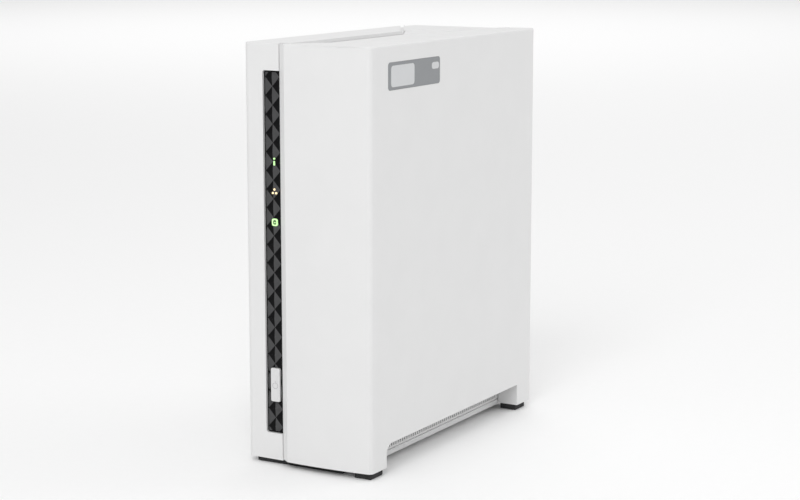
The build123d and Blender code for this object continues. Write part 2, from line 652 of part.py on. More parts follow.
# ---------------------------------------------------------------- power button
BUTTON_FLANGE = STRIP_BACK + 0.2
BUTTON_STEM_END = BUTTON_FLANGE + 2.4
BUTTON_CORNER = 0.8
BUTTON_EDGE_R = 0.3
FLANGE_HALF = (3.2, 8.6)
FLANGE_THICK = 0.8
STEM_R = 1.2
with BuildPart() as power_button:
    with BuildSketch(Plane.XZ.offset(-BUTTON_FLANGE)):
        with Locations((BUTTON_X, BUTTON_Z)):
            RectangleRounded(BUTTON_W, BUTTON_H, BUTTON_CORNER)
    extrude(amount=BUTTON_FLANGE - BUTTON_FACE)
    fillet(power_button.faces().sort_by(Axis.Y)[0].edges(), radius=BUTTON_EDGE_R)
    # faint round finger mark, with its upright stroke
    with BuildSketch(Plane.XZ.offset(-BUTTON_FACE + OVER)):
        with Locations((BUTTON_X, BUTTON_Z - 0.3)):
            Circle(BUTTON_RING[1])
            Circle(BUTTON_RING[0], mode=Mode.SUBTRACT)
        with Locations((BUTTON_X, BUTTON_Z + 1.1)):
            Rectangle(1.0, 1.2, mode=Mode.SUBTRACT)
            Rectangle(0.25, 1.5)
    extrude(amount=-BUTTON_MARK_DEEP - OVER, mode=Mode.SUBTRACT)
    box_between(
        (BUTTON_X - FLANGE_HALF[0], BUTTON_FLANGE, BUTTON_Z - FLANGE_HALF[1]),
        (BUTTON_X + FLANGE_HALF[0], BUTTON_FLANGE + FLANGE_THICK, BUTTON_Z + FLANGE_HALF[1]),
    )
    with BuildSketch(Plane.XZ.offset(-BUTTON_FLANGE)):
        with Locations((BUTTON_X, BUTTON_Z)):
            Circle(STEM_R)
    extrude(amount=BUTTON_FLANGE - BUTTON_STEM_END)
power_button.part.label = "power_button"
export_step(power_button.part, "parts/power_button.step")

# ---------------------------------------------------------------- front board
SWITCH_TIP = BUTTON_STEM_END + BUTTON_TRAVEL + 0.05
SWITCH_HALF = 3.0
PLUNGER_R = 1.6
PLUNGER_LONG = 0.6
FRONT_BOARD_THICK = 1.2
FRONT_BOARD_BACK = FRONT_BOARD_FACE + FRONT_BOARD_THICK
FRONT_BOARD_X = (-23.6, -13.4)
FRONT_BOARD_Z = (22.0, 168.0)
LINK_Z = (62.0, 78.0)
LINK_DEEP = 5.0
with BuildPart() as front_board:
    box_between(
        (FRONT_BOARD_X[0], FRONT_BOARD_FACE, FRONT_BOARD_Z[0]),
        (FRONT_BOARD_X[1], FRONT_BOARD_BACK, FRONT_BOARD_Z[1]),
    )
front_board.part.label = "front_board"
export_step(front_board.part, "parts/front_board.step")

with BuildPart() as power_switch:
    box_between(
        (BUTTON_X - SWITCH_HALF, SWITCH_TIP + PLUNGER_LONG, BUTTON_Z - SWITCH_HALF),
        (BUTTON_X + SWITCH_HALF, FRONT_BOARD_FACE, BUTTON_Z + SWITCH_HALF),
    )
    with BuildSketch(Plane.XZ.offset(-SWITCH_TIP - PLUNGER_LONG)):
        with Locations((BUTTON_X, BUTTON_Z)):
            Circle(PLUNGER_R)
    extrude(amount=PLUNGER_LONG)
power_switch.part.label = "power_switch"
export_step(power_switch.part, "parts/power_switch.step")

with BuildPart() as status_leds:
    for icon in icons:
        box_between(
            (ICON_X - LED_SIZE[0] / 2, FRONT_BOARD_FACE - LED_SIZE[1], icon[2] - LED_SIZE[2] / 2),
            (ICON_X + LED_SIZE[0] / 2, FRONT_BOARD_FACE, icon[2] + LED_SIZE[2] / 2),
        )
status_leds.part.label = "status_leds"
export_step(status_leds.part, "parts/status_leds.step")

with BuildPart() as board_link:
    box_between((BOARD_X, FRONT_BOARD_BACK, LINK_Z[0]), (BOARD_X + LINK_DEEP, BOARD_Y[0] + 3.0, LINK_Z[1]))
    fillet(board_link.edges().filter_by(Axis.Z), radius=0.4)
board_link.part.label = "board_link"
export_step(board_link.part, "parts/board_link.step")

# ---------------------------------------------------------------- rear panel
LAN_DEEP = 13.5
LAN_WIDE = 16.0
USB_DEEP = 7.0
USB_WIDE = 14.4
DC_DEEP = 11.0
DC_X = BOARD_X + DC_DEEP / 2
RESET_X = BOARD_X + 3.2
RESET_HOLE_R = 0.9
PORT_FIT = 0.3
port_holes = [
    (BOARD_X + LAN_DEEP / 2, LAN_Z, LAN_DEEP + 2 * PORT_FIT, LAN_WIDE + 2 * PORT_FIT),
    (BOARD_X + USB_DEEP / 2, USB_ZS[0], USB_DEEP + 2 * PORT_FIT, USB_WIDE + 2 * PORT_FIT),
    (BOARD_X + USB_DEEP / 2, USB_ZS[1], USB_DEEP + 2 * PORT_FIT, USB_WIDE + 2 * PORT_FIT),
    (DC_X, DC_Z, DC_DEEP + 2 * PORT_FIT, DC_DEEP + 2 * PORT_FIT),
]
LOCK_SPOT = (14.0, 40.0)
LOCK_SIZE = (3.2, 7.2)
FAN_X = 1.0
HEX_R = 1.75
HEX_PITCH = 3.75
HEX_ROWS = range(-6, 7)
PANEL_FIT = 0.2
PANEL_LOW = SHELL_BOTTOM + BASE_THICK + PANEL_FIT
PANEL_LEFT = BASE_LEFT + PANEL_FIT
PANEL_RIGHT = INNER_RIGHT - GAP
PANEL_STEP = SKIRT_TOP + PANEL_FIT

with BuildPart() as rear_panel:
    with BuildSketch(Plane.XZ.offset(-PANEL_FACE)):
        with BuildLine():
            Polyline(
                (PANEL_LEFT, PANEL_LOW),
                (PANEL_LEFT, PANEL_TOP),
                (PANEL_RIGHT, PANEL_TOP),
                (PANEL_RIGHT, PANEL_STEP),
                (SKIRT_X, PANEL_STEP),
                (SKIRT_X, PANEL_LOW),
                close=True,
            )
        make_face()
    extrude(amount=WALL)
    # dished cups that sink the thumb screws' heads
    for screw_z in SCREW_ZS:
        with BuildSketch(Plane.XZ.offset(-PANEL_FACE)):
            with Locations((SCREW_X, screw_z)):
                Circle(CUP_WALL_R)
        extrude(amount=CUP_DEPTH + CUP_FLOOR)
    # the cups end where the cover and the tray begin
    cup_front = PANEL_FACE - CUP_DEPTH - CUP_FLOOR - OVER
    cup_right = SCREW_X + 2 * CUP_WALL_R
    box_between((PANEL_RIGHT, cup_front, 0.0), (cup_right, REAR_Y + OVER, HEIGHT), mode=Mode.SUBTRACT)
    box_between((SKIRT_X, cup_front, 0.0), (cup_right, REAR_Y + OVER, PANEL_STEP), mode=Mode.SUBTRACT)
    for screw_z in SCREW_ZS:
        with BuildSketch(Plane.XZ.offset(-PANEL_FACE - OVER)):
            with Locations((SCREW_X, screw_z)):
                Circle(CUP_R)
        extrude(amount=CUP_DEPTH + OVER, mode=Mode.SUBTRACT)
        with BuildSketch(Plane.XZ.offset(-PANEL_FACE - OVER)):
            with Locations((SCREW_X, screw_z)):
                Circle(M3_HOLE)
        extrude(amount=CUP_DEPTH + CUP_FLOOR + 2 * OVER, mode=Mode.SUBTRACT)
    # port, reset and lock openings
    with BuildSketch(Plane.XZ.offset(-PANEL_FACE - OVER)):
        for hole_x, hole_z, hole_w, hole_h in port_holes:
            with Locations((hole_x, hole_z)):
                RectangleRounded(hole_w, hole_h, 0.5)
        with Locations((RESET_X, RESET_Z)):
            Circle(RESET_HOLE_R)
        with Locations(LOCK_SPOT):
            RectangleRounded(*LOCK_SIZE, 1.0)
    extrude(amount=WALL + 2 * OVER, mode=Mode.SUBTRACT)
    # honeycomb in front of the fan
    with BuildSketch(Plane.XZ.offset(-PANEL_FACE - OVER)):
        for row in HEX_ROWS:
            for column in HEX_ROWS:
                hex_x = (column + (row % 2) / 2) * HEX_PITCH
                hex_z = row * HEX_PITCH * math.sqrt(3) / 2
                if math.hypot(hex_x, hex_z) + HEX_R < FAN_OPEN_R - 0.65:
                    with Locations((FAN_X + hex_x, FAN_Z + hex_z)):
                        RegularPolygon(HEX_R, 6, rotation=30)
    extrude(amount=WALL + 2 * OVER, mode=Mode.SUBTRACT)
    # countersunk holes: fan and panel screws
    hole_spots = [(FAN_X + sx * FAN_SCREW, FAN_Z + sz * FAN_SCREW) for sx in (-1, 1) for sz in (-1, 1)]
    for spot_x, spot_z in hole_spots + list(PANEL_SCREWS):
        hole_plane = Plane(origin=(spot_x, PANEL_FACE, spot_z), x_dir=(1, 0, 0), z_dir=(0, 1, 0))
        with Locations(hole_plane):
            CounterSinkHole(radius=M3_HOLE, counter_sink_radius=SINK_R, depth=WALL + 2 * OVER)
rear_panel.part.label = "rear_panel"
export_step(rear_panel.part, "parts/rear_panel.step")

FAN_SCREW_LONG = 12.0
HEAD_SUNK = 0.1
CROSS_DEEP = 1.0
SMALL_CROSS = ((1.6, 0.3), (0.3, 1.6))

# Countersunk screws whose heads lie flush with the rear panel, pointing forward.
for screws_name, spots, length in (
    ("rear_panel_screws", PANEL_SCREWS, PANEL_SCREW_LONG),
    ("fan_screws", hole_spots, FAN_SCREW_LONG),
):
    with BuildPart() as flat_screws:
        for spot_x, spot_z in spots:
            with BuildSketch(Plane.YZ.offset(spot_x)):
                with BuildLine():
                    Polyline(
                        (PANEL_FACE - HEAD_SUNK, spot_z),
                        (PANEL_FACE - HEAD_SUNK, spot_z + SINK_HEAD_R),
                        (PANEL_FACE - SINK_DEEP, spot_z + M3_R),
                        (PANEL_FACE - length, spot_z + M3_R),
                        (PANEL_FACE - length, spot_z),
                        close=True,
                    )
                make_face()
            revolve(axis=Axis((spot_x, 0, spot_z), (0, 1, 0)))
            for slot_x, slot_z in SMALL_CROSS:
                box_between(
                    (spot_x - slot_x, PANEL_FACE - CROSS_DEEP, spot_z - slot_z),
                    (spot_x + slot_x, PANEL_FACE, spot_z + slot_z),
                    mode=Mode.SUBTRACT,
                )
    flat_screws.part.label = screws_name
    export_step(flat_screws.part, "parts/" + screws_name + ".step")

# ---------------------------------------------------------------- thumb screws
HEAD_BACK = PANEL_FACE - HEAD_SUNK
HEAD_FRONT = PANEL_FACE - CUP_DEPTH + HEAD_SUNK
HEAD_R = 3.9
HEAD_CHAMFER = 0.4
KNURLS = 24
KNURL_SIZE = 0.5
COIN_SLOT = (5.2, 1.3, 0.9)
THUMB_TIP = 63.5
for screw_name, screw_z in zip(("lower_thumb_screw", "upper_thumb_screw"), SCREW_ZS):
    with BuildPart() as thumb_screw:
        with BuildSketch(Plane.XZ.offset(-HEAD_BACK)):
            with Locations((SCREW_X, screw_z)):
                Circle(HEAD_R)
        extrude(amount=HEAD_BACK - HEAD_FRONT)
        chamfer(thumb_screw.faces().sort_by(Axis.Y)[-1].edges(), length=HEAD_CHAMFER)
        # knurled rim: fine grooves along the head
        with BuildSketch(Plane.XZ.offset(-HEAD_BACK - OVER)):
            with Locations((SCREW_X, screw_z)):
                with PolarLocations(HEAD_R + 0.05, KNURLS):
                    Rectangle(KNURL_SIZE, KNURL_SIZE, rotation=45)
        extrude(amount=HEAD_BACK - HEAD_FRONT + 2 * OVER, mode=Mode.SUBTRACT)
        box_between(
            (SCREW_X - COIN_SLOT[0] / 2, HEAD_BACK - COIN_SLOT[1], screw_z - COIN_SLOT[2] / 2),
            (SCREW_X + COIN_SLOT[0] / 2, HEAD_BACK + OVER, screw_z + COIN_SLOT[2] / 2),
            mode=Mode.SUBTRACT,
        )
        with BuildSketch(Plane.XZ.offset(-HEAD_FRONT)):
            with Locations((SCREW_X, screw_z)):
                Circle(M3_R)
        extrude(amount=HEAD_FRONT - THUMB_TIP)
    thumb_screw.part.label = screw_name
    export_step(thumb_screw.part, "parts/" + screw_name + ".step")

# ---------------------------------------------------------------- fan
FAN_MOUNT_R = 12.5
FAN_MOUNT_THICK = 2.2
FAN_CORNER_R = 3.0
FAN_FLANGE = 3.2
FAN_WALL = 1.1
STRUT_SIZE = (13.0, 2.2)
STRUT_R = 18.0
BEARING_R = 3.3
BEARING_START = 3.4
SHAFT_R = 1.5
SHAFT_FIT = 0.05
STATOR_R = 9.6
STATOR_START = 4.6
STATOR_THICK = 6.8
STATOR_NOTCH = (4.0, 2.0)
HUB_R = 12.2
HUB_INNER_R = 11.0
HUB_START = 1.0
HUB_DEEP = 11.0
HUB_THICK = 1.2
BLADE_SIZE = (10.9, 1.0, 11.0)
BLADE_R = 17.25
BLADE_MIDDLE = 6.6
BLADE_PITCH = 38.0
BLADES = 7
fan_frame_plane = Plane(origin=(FAN_X, FAN_FRONT, FAN_Z), x_dir=(1, 0, 0), z_dir=(0, 1, 0))
with BuildPart() as fan_frame:
    with BuildSketch(fan_frame_plane):
        RectangleRounded(FAN_SIZE, FAN_SIZE, FAN_CORNER_R)
        Circle(FAN_OPEN_R, mode=Mode.SUBTRACT)
        with GridLocations(2 * FAN_SCREW, 2 * FAN_SCREW, 2, 2):
            Circle(M3_HOLE, mode=Mode.SUBTRACT)
    extrude(amount=FAN_THICK)
    # waist between the two flanges
    with BuildSketch(fan_frame_plane.offset(FAN_FLANGE)):
        Rectangle(FAN_SIZE + 2 * OVER, FAN_SIZE + 2 * OVER)
        Circle(FAN_OPEN_R + FAN_WALL, mode=Mode.SUBTRACT)
    extrude(amount=FAN_THICK - 2 * FAN_FLANGE, mode=Mode.SUBTRACT)
    # motor mount on four struts, with the bearing tube
    with BuildSketch(fan_frame_plane.offset(FAN_THICK - FAN_MOUNT_THICK)):
        Circle(FAN_MOUNT_R)
        with PolarLocations(STRUT_R, 4, start_angle=45):
            Rectangle(*STRUT_SIZE)
    extrude(amount=FAN_MOUNT_THICK)
    with BuildSketch(fan_frame_plane.offset(BEARING_START)):
        Circle(BEARING_R)
    extrude(amount=FAN_THICK - BEARING_START)
    # blind hole for the rotor's shaft, closed by 1 mm at its rear end
    with BuildSketch(fan_frame_plane.offset(BEARING_START - OVER)):
        Circle(SHAFT_R + SHAFT_FIT)
    extrude(amount=FAN_THICK - BEARING_START + OVER - 1.0, mode=Mode.SUBTRACT)
fan_frame.part.label = "fan_frame"
export_step(fan_frame.part, "parts/fan_frame.step")

with BuildPart() as fan_stator:
    with BuildSketch(fan_frame_plane.offset(STATOR_START)):
        Circle(STATOR_R)
        Circle(BEARING_R + SHAFT_FIT, mode=Mode.SUBTRACT)
        with PolarLocations(STATOR_R - 0.6, 4, start_angle=45):
            Rectangle(*STATOR_NOTCH, mode=Mode.SUBTRACT)
    extrude(amount=STATOR_THICK)
fan_stator.part.label = "fan_stator"
export_step(fan_stator.part, "parts/fan_stator.step")

with BuildPart() as fan_rotor:
    with BuildSketch(fan_frame_plane.offset(HUB_START)):
        Circle(HUB_R)
    extrude(amount=HUB_DEEP)
    fillet(fan_rotor.faces().sort_by(Axis.Y)[0].edges(), radius=1.0)
    with BuildSketch(fan_frame_plane.offset(HUB_START + HUB_THICK)):
        Circle(HUB_INNER_R)
    extrude(amount=HUB_DEEP, mode=Mode.SUBTRACT)
    # the shaft, rooted in the hub's floor
    with BuildSketch(fan_frame_plane.offset(HUB_START + HUB_THICK - 0.2)):
        Circle(SHAFT_R)
    extrude(amount=HUB_DEEP - OVER)
    with Locations(fan_frame_plane.offset(BLADE_MIDDLE)):
        with PolarLocations(BLADE_R, BLADES):
            Box(*BLADE_SIZE, rotation=(BLADE_PITCH, 0, 0))
fan_rotor.part.label = "fan_rotor"
export_step(fan_rotor.part, "parts/fan_rotor.step")

LEAD_X = FAN_X - 23.3
LEAD_Z = FAN_Z - 23.2
PLUG_TOP = 100.0
LEAD_Y = 47.0
LEAD_R = 1.1
LEAD_BEND = 6.2
PLUG_SIZE = (5.4, 6.4, 6.0)
with BuildPart() as fan_lead:
    with BuildLine():
        FilletPolyline(
            (LEAD_X, FAN_FRONT, LEAD_Z),
            (LEAD_X, LEAD_Y, LEAD_Z),
            (LEAD_X, LEAD_Y, PLUG_TOP),
            radius=LEAD_BEND,
        )
    with BuildSketch(Plane(origin=(LEAD_X, FAN_FRONT, LEAD_Z), x_dir=(1, 0, 0), z_dir=(0, -1, 0))):
        Circle(LEAD_R)
    sweep()
fan_lead.part.label = "fan_lead"
export_step(fan_lead.part, "parts/fan_lead.step")

with BuildPart() as fan_connector:
    box_between(
        (BOARD_X, LEAD_Y - PLUG_SIZE[1] / 2, PLUG_TOP - PLUG_SIZE[2]),
        (BOARD_X + PLUG_SIZE[0], LEAD_Y + PLUG_SIZE[1] / 2, PLUG_TOP),
    )
    fillet(fan_connector.edges().filter_by(Axis.X), radius=0.5)
fan_connector.part.label = "fan_connector"
export_step(fan_connector.part, "parts/fan_connector.step")

# ---------------------------------------------------------------- mainboard
pad_spots = [(y, z) for y in PAD_YS for z in PAD_ZS]
with BuildPart() as mainboard:
    box_between((BOARD_X - BOARD_THICK, BOARD_Y[0], BOARD_Z[0]), (BOARD_X, BOARD_Y[1], BOARD_Z[1]))
    with BuildSketch(Plane.YZ.offset(BOARD_X - BOARD_THICK - OVER)):
        for pad_y, pad_z in pad_spots:
            with Locations((pad_y, pad_z)):
                Circle(M3_R + 0.1)
        # clearance for the bracket's lower posts
        for peg in PEG_SPOTS:
            with Locations(peg):
                Circle(POST_R + 0.8)
    extrude(amount=BOARD_THICK + 2 * OVER, mode=Mode.SUBTRACT)
mainboard.part.label = "mainboard"
export_step(mainboard.part, "parts/mainboard.step")

PAN_R = 2.8
PAN_TALL = 1.9
PAN_CROSS = ((1.7, 0.35), (0.35, 1.7))
BOARD_SCREW_LONG = 4.8
BRACKET_SCREW_LONG = 8.0

# Pan-head screws that point to the left: four in the mainboard, two in the drive bracket.
for screws_name, spots, seat_x, length in (
    ("board_screws", pad_spots, BOARD_X, BOARD_SCREW_LONG),
    ("bracket_screws", POST_SPOTS, DRIVE_X, BRACKET_SCREW_LONG),
):
    with BuildPart() as pan_screws:
        for spot_y, spot_z in spots:
            with BuildSketch(Plane.YZ.offset(seat_x)):
                with Locations((spot_y, spot_z)):
                    Circle(PAN_R)
            extrude(amount=PAN_TALL)
            with BuildSketch(Plane.YZ.offset(seat_x)):
                with Locations((spot_y, spot_z)):
                    Circle(M3_R)
            extrude(amount=-length)
            for slot_y, slot_z in PAN_CROSS:
                box_between(
                    (seat_x + PAN_TALL - CROSS_DEEP, spot_y - slot_y, spot_z - slot_z),
                    (seat_x + PAN_TALL + OVER, spot_y + slot_y, spot_z + slot_z),
                    mode=Mode.SUBTRACT,
                )
    pan_screws.part.label = screws_name
    export_step(pan_screws.part, "parts/" + screws_name + ".step")

CPU_SPOT = (8.0, 76.0)
CPU_HALF = 8.5
CPU_THICK = 1.4
SINK_HALF = 16.0
SINK_FLOOR = 2.0
FIN_TALL = 8.0
FIN_THICK = 1.0
FINS = 9
FIN_PITCH = (2 * SINK_HALF - FIN_THICK) / (FINS - 1)


def board_chip(y, z, half_y, half_z, thick):
    """A flat chip on the mainboard's right face, in the current part."""
    box_between((BOARD_X, y - half_y, z - half_z), (BOARD_X + thick, y + half_y, z + half_z))


with BuildPart() as processor:
    board_chip(*CPU_SPOT, CPU_HALF, CPU_HALF, CPU_THICK)
processor.part.label = "processor"
export_step(processor.part, "parts/processor.step")

with BuildPart() as heatsink:
    sink_x = BOARD_X + CPU_THICK
    box_between(
        (sink_x, CPU_SPOT[0] - SINK_HALF, CPU_SPOT[1] - SINK_HALF),
        (sink_x + SINK_FLOOR, CPU_SPOT[0] + SINK_HALF, CPU_SPOT[1] + SINK_HALF),
    )
    with Locations((sink_x + SINK_FLOOR + FIN_TALL / 2, *CPU_SPOT)):
        with GridLocations(FIN_TALL, FIN_PITCH, 1, FINS):
            Box(FIN_TALL, FIN_THICK, 2 * SINK_HALF)
heatsink.part.label = "heatsink"
export_step(heatsink.part, "parts/heatsink.step")

MEMORY_SPOTS = ((-18.0, 84.0), (-18.0, 67.0), (32.0, 84.0))
MEMORY_HALF = (5.0, 7.0)
MEMORY_THICK = 1.1
with BuildPart() as memory_chips:
    for chip_spot in MEMORY_SPOTS:
        board_chip(*chip_spot, *MEMORY_HALF, MEMORY_THICK)
memory_chips.part.label = "memory_chips"
export_step(memory_chips.part, "parts/memory_chips.step")

# Y, Z and half width: network chip, port chip, power chip and flash chip.
SMALL_CHIPS = ((46.0, 62.0, 4.5), (48.0, 84.0, 3.0), (2.0, 44.0, 4.0), (-40.0, 60.0, 3.5))
SMALL_CHIP_THICK = 1.0
with BuildPart() as small_chips:
    for chip_y, chip_z, chip_half in SMALL_CHIPS:
        board_chip(chip_y, chip_z, chip_half, chip_half, SMALL_CHIP_THICK)
small_chips.part.label = "small_chips"
export_step(small_chips.part, "parts/small_chips.step")

CAPACITOR_SPOTS = ((10.0, 30.0), (18.0, 30.0), (26.0, 30.0), (52.0, 46.0))
CAPACITOR_R = 3.15
CAPACITOR_TALL = 7.5
CAPACITOR_EDGE_R = 0.5
with BuildPart() as capacitors:
    with BuildSketch(Plane.YZ.offset(BOARD_X)):
        for cap_spot in CAPACITOR_SPOTS:
            with Locations(cap_spot):
                Circle(CAPACITOR_R)
    extrude(amount=CAPACITOR_TALL)
    can_tops = capacitors.faces().filter_by(Axis.X).group_by(Axis.X)[-1]
    fillet(can_tops.edges(), radius=CAPACITOR_EDGE_R)
capacitors.part.label = "capacitors"
export_step(capacitors.part, "parts/capacitors.step")

CELL_SPOT = (-34.0, 120.0)
CELL_R = 10.0
CELL_THICK = 3.2
CELL_EDGE_R = 0.4
HOLDER_R = 11.6
HOLDER_TALL = 4.4
HOLDER_FLOOR = 1.0
HOLDER_GATE_HALF = 4.0
with BuildPart() as coin_cell_holder:
    with BuildSketch(Plane.YZ.offset(BOARD_X)):
        with Locations(CELL_SPOT):
            Circle(HOLDER_R)
    extrude(amount=HOLDER_TALL)
    with BuildSketch(Plane.YZ.offset(BOARD_X + HOLDER_FLOOR)):
        with Locations(CELL_SPOT):
            Circle(CELL_R + 0.1)
    extrude(amount=HOLDER_TALL, mode=Mode.SUBTRACT)
    # gate that the cell is pushed out through
    box_between(
        (BOARD_X + HOLDER_FLOOR, CELL_SPOT[0] - HOLDER_GATE_HALF, CELL_SPOT[1] - HOLDER_R - OVER),
        (BOARD_X + HOLDER_TALL + OVER, CELL_SPOT[0] + HOLDER_GATE_HALF, CELL_SPOT[1] - CELL_R + 2.0),
        mode=Mode.SUBTRACT,
    )
coin_cell_holder.part.label = "coin_cell_holder"
export_step(coin_cell_holder.part, "parts/coin_cell_holder.step")

with BuildPart() as coin_cell:
    with BuildSketch(Plane.YZ.offset(BOARD_X + HOLDER_FLOOR + 0.05)):
        with Locations(CELL_SPOT):
            Circle(CELL_R)
    extrude(amount=CELL_THICK)
    fillet(coin_cell.faces().sort_by(Axis.X)[-1].edges(), radius=CELL_EDGE_R)
coin_cell.part.label = "coin_cell"
export_step(coin_cell.part, "parts/coin_cell.step")

# ---------------------------------------------------------------- ports
LAN_FRONT = 56.5
PLUG_STOP = 62.0
# The plug's hole and the two steps of its latch channel: start and end above the board, half width.
LAN_STEPS = ((1.6, 9.4, 5.9), (9.3, 10.8, 3.1), (10.7, 12.0, 1.6))
with BuildPart() as lan_jack:
    box_between(
        (BOARD_X, LAN_FRONT, LAN_Z - LAN_WIDE / 2),
        (BOARD_X + LAN_DEEP, PORT_FACE, LAN_Z + LAN_WIDE / 2),
    )
    for step_start, step_end, step_half in LAN_STEPS:
        box_between(
            (BOARD_X + step_start, PLUG_STOP, LAN_Z - step_half),
            (BOARD_X + step_end, PORT_FACE + OVER, LAN_Z + step_half),
            mode=Mode.SUBTRACT,
        )
lan_jack.part.label = "lan_jack"
export_step(lan_jack.part, "parts/lan_jack.step")

USB_FRONT = 64.0
# Hollow and tongue: start and end above the board, half width.
USB_HOLLOW = (0.9, 6.0, 6.25)
USB_TONGUE = (1.7, 3.6, 5.5)
for usb_name, usb_z in zip(("lower_usb_port", "upper_usb_port"), USB_ZS):
    with BuildPart() as usb_port:
        box_between(
            (BOARD_X, USB_FRONT, usb_z - USB_WIDE / 2),
            (BOARD_X + USB_DEEP, PORT_FACE, usb_z + USB_WIDE / 2),
        )
        box_between(
            (BOARD_X + USB_HOLLOW[0], USB_FRONT + 3.0, usb_z - USB_HOLLOW[2]),
            (BOARD_X + USB_HOLLOW[1], PORT_FACE + OVER, usb_z + USB_HOLLOW[2]),
            mode=Mode.SUBTRACT,
        )
        box_between(
            (BOARD_X + USB_TONGUE[0], USB_FRONT + 2.0, usb_z - USB_TONGUE[2]),
            (BOARD_X + USB_TONGUE[1], PORT_FACE - 1.2, usb_z + USB_TONGUE[2]),
        )
    usb_port.part.label = usb_name
    export_step(usb_port.part, "parts/" + usb_name + ".step")

DC_FRONT = 64.0
DC_BORE_R = 3.15
DC_PIN_R = 1.0
DC_BORE_DEEP = 10.0
with BuildPart() as dc_jack:
    box_between((BOARD_X, DC_FRONT, DC_Z - DC_DEEP / 2), (BOARD_X + DC_DEEP, PORT_FACE, DC_Z + DC_DEEP / 2))
    with BuildSketch(Plane.XZ.offset(-PORT_FACE + DC_BORE_DEEP)):
        with Locations((DC_X, DC_Z)):
            Circle(DC_BORE_R)
            Circle(DC_PIN_R, mode=Mode.SUBTRACT)
    extrude(amount=-DC_BORE_DEEP - OVER, mode=Mode.SUBTRACT)
dc_jack.part.label = "dc_jack"
export_step(dc_jack.part, "parts/dc_jack.step")

RESET_SWITCH_Y = (64.5, 70.0)
RESET_SWITCH_SIZE = 6.0
RESET_BORE_R = 1.2
RESET_BORE_FLOOR = 67.3
RESET_STEM_Y = (68.2, 74.9)
RESET_STEM_R = 1.15
RESET_EDGE_R = 0.3
with BuildPart() as reset_switch:
    box_between(
        (BOARD_X, RESET_SWITCH_Y[0], RESET_Z - RESET_SWITCH_SIZE / 2),
        (BOARD_X + RESET_SWITCH_SIZE, RESET_SWITCH_Y[1], RESET_Z + RESET_SWITCH_SIZE / 2),
    )
    with BuildSketch(Plane.XZ.offset(-RESET_SWITCH_Y[1] - OVER)):
        with Locations((RESET_X, RESET_Z)):
            Circle(RESET_BORE_R)
    extrude(amount=RESET_SWITCH_Y[1] + OVER - RESET_BORE_FLOOR, mode=Mode.SUBTRACT)
reset_switch.part.label = "reset_switch"
export_step(reset_switch.part, "parts/reset_switch.step")

with BuildPart() as reset_button:
    with BuildSketch(Plane.XZ.offset(-RESET_STEM_Y[1])):
        with Locations((RESET_X, RESET_Z)):
            Circle(RESET_STEM_R)
    extrude(amount=RESET_STEM_Y[1] - RESET_STEM_Y[0])
    fillet(reset_button.faces().sort_by(Axis.Y)[-1].edges(), radius=RESET_EDGE_R)
reset_button.part.label = "reset_button"
export_step(reset_button.part, "parts/reset_button.step")

# ---------------------------------------------------------------- riser
RISER_Z = 19.2
RISER_THICK = 1.6
RISER_Y = (-36.0, 8.0)
RISER_END = 13.0
RISER_SOCKET_DEEP = 8.0
RISER_SOCKET_WALL = 2.4
RISER_GRIP = 1.5
PLUG_X = DRIVE_X + 4.6
PLUG_HALF = 2.6
TONGUE_HALF = 0.5
TONGUE_FIT = 0.2
SOCKET_LOW = RISER_Z + RISER_THICK
SOCKET_TALL = 8.0
SOCKET_FLOOR = 3.4
CONNECTOR_TOP = DRIVE_Z + 8.0

with BuildPart() as riser_socket:
    box_between(
        (BOARD_X, RISER_Y[0] + 1, RISER_Z - RISER_SOCKET_WALL),
        (BOARD_X + RISER_SOCKET_DEEP, RISER_Y[1] - 1, SOCKET_LOW + RISER_SOCKET_WALL),
    )
    box_between(
        (BOARD_X + RISER_GRIP, RISER_Y[0], RISER_Z),
        (BOARD_X + RISER_SOCKET_DEEP + OVER, RISER_Y[1], SOCKET_LOW),
        mode=Mode.SUBTRACT,
    )
riser_socket.part.label = "riser_socket"
export_step(riser_socket.part, "parts/riser_socket.step")

with BuildPart() as riser_board:
    box_between((BOARD_X + RISER_GRIP + 0.1, RISER_Y[0], RISER_Z), (RISER_END, RISER_Y[1], SOCKET_LOW))
riser_board.part.label = "riser_board"
export_step(riser_board.part, "parts/riser_board.step")

with BuildPart() as drive_socket:
    box_between(
        (PLUG_X - PLUG_HALF, RISER_Y[0] + 2, SOCKET_LOW),
        (PLUG_X + PLUG_HALF, RISER_Y[1] - 2, SOCKET_LOW + SOCKET_TALL),
    )
    box_between(
        (PLUG_X - TONGUE_HALF - TONGUE_FIT, RISER_Y[0] + 4, SOCKET_LOW + SOCKET_FLOOR),
        (PLUG_X + TONGUE_HALF + TONGUE_FIT, RISER_Y[1] - 4, SOCKET_LOW + SOCKET_TALL + OVER),
        mode=Mode.SUBTRACT,
    )
drive_socket.part.label = "drive_socket"
export_step(drive_socket.part, "parts/drive_socket.step")

with BuildPart() as drive_connector:
    box_between(
        (PLUG_X - TONGUE_HALF, RISER_Y[0] + 4.5, SOCKET_LOW + SOCKET_FLOOR + 0.6),
        (PLUG_X + TONGUE_HALF, RISER_Y[1] - 4.5, CONNECTOR_TOP),
    )
    box_between(
        (PLUG_X - PLUG_HALF, RISER_Y[0] + 2, SOCKET_LOW + SOCKET_TALL + 0.4),
        (PLUG_X + PLUG_HALF, RISER_Y[1] - 2, CONNECTOR_TOP),
    )
drive_connector.part.label = "drive_connector"
export_step(drive_connector.part, "parts/drive_connector.step")

# ---------------------------------------------------------------- drive
LID_THICK = 1.3
LID_X = DRIVE_X + DRIVE_THICK - LID_THICK
DRIVE_TOP = DRIVE_Z + DRIVE_LONG
DRIVE_END = DRIVE_Y + DRIVE_WIDE
DRIVE_MIDDLE = ((DRIVE_Y + DRIVE_END) / 2, (DRIVE_Z + DRIVE_TOP) / 2)
DRIVE_CORNER_R = 2.5
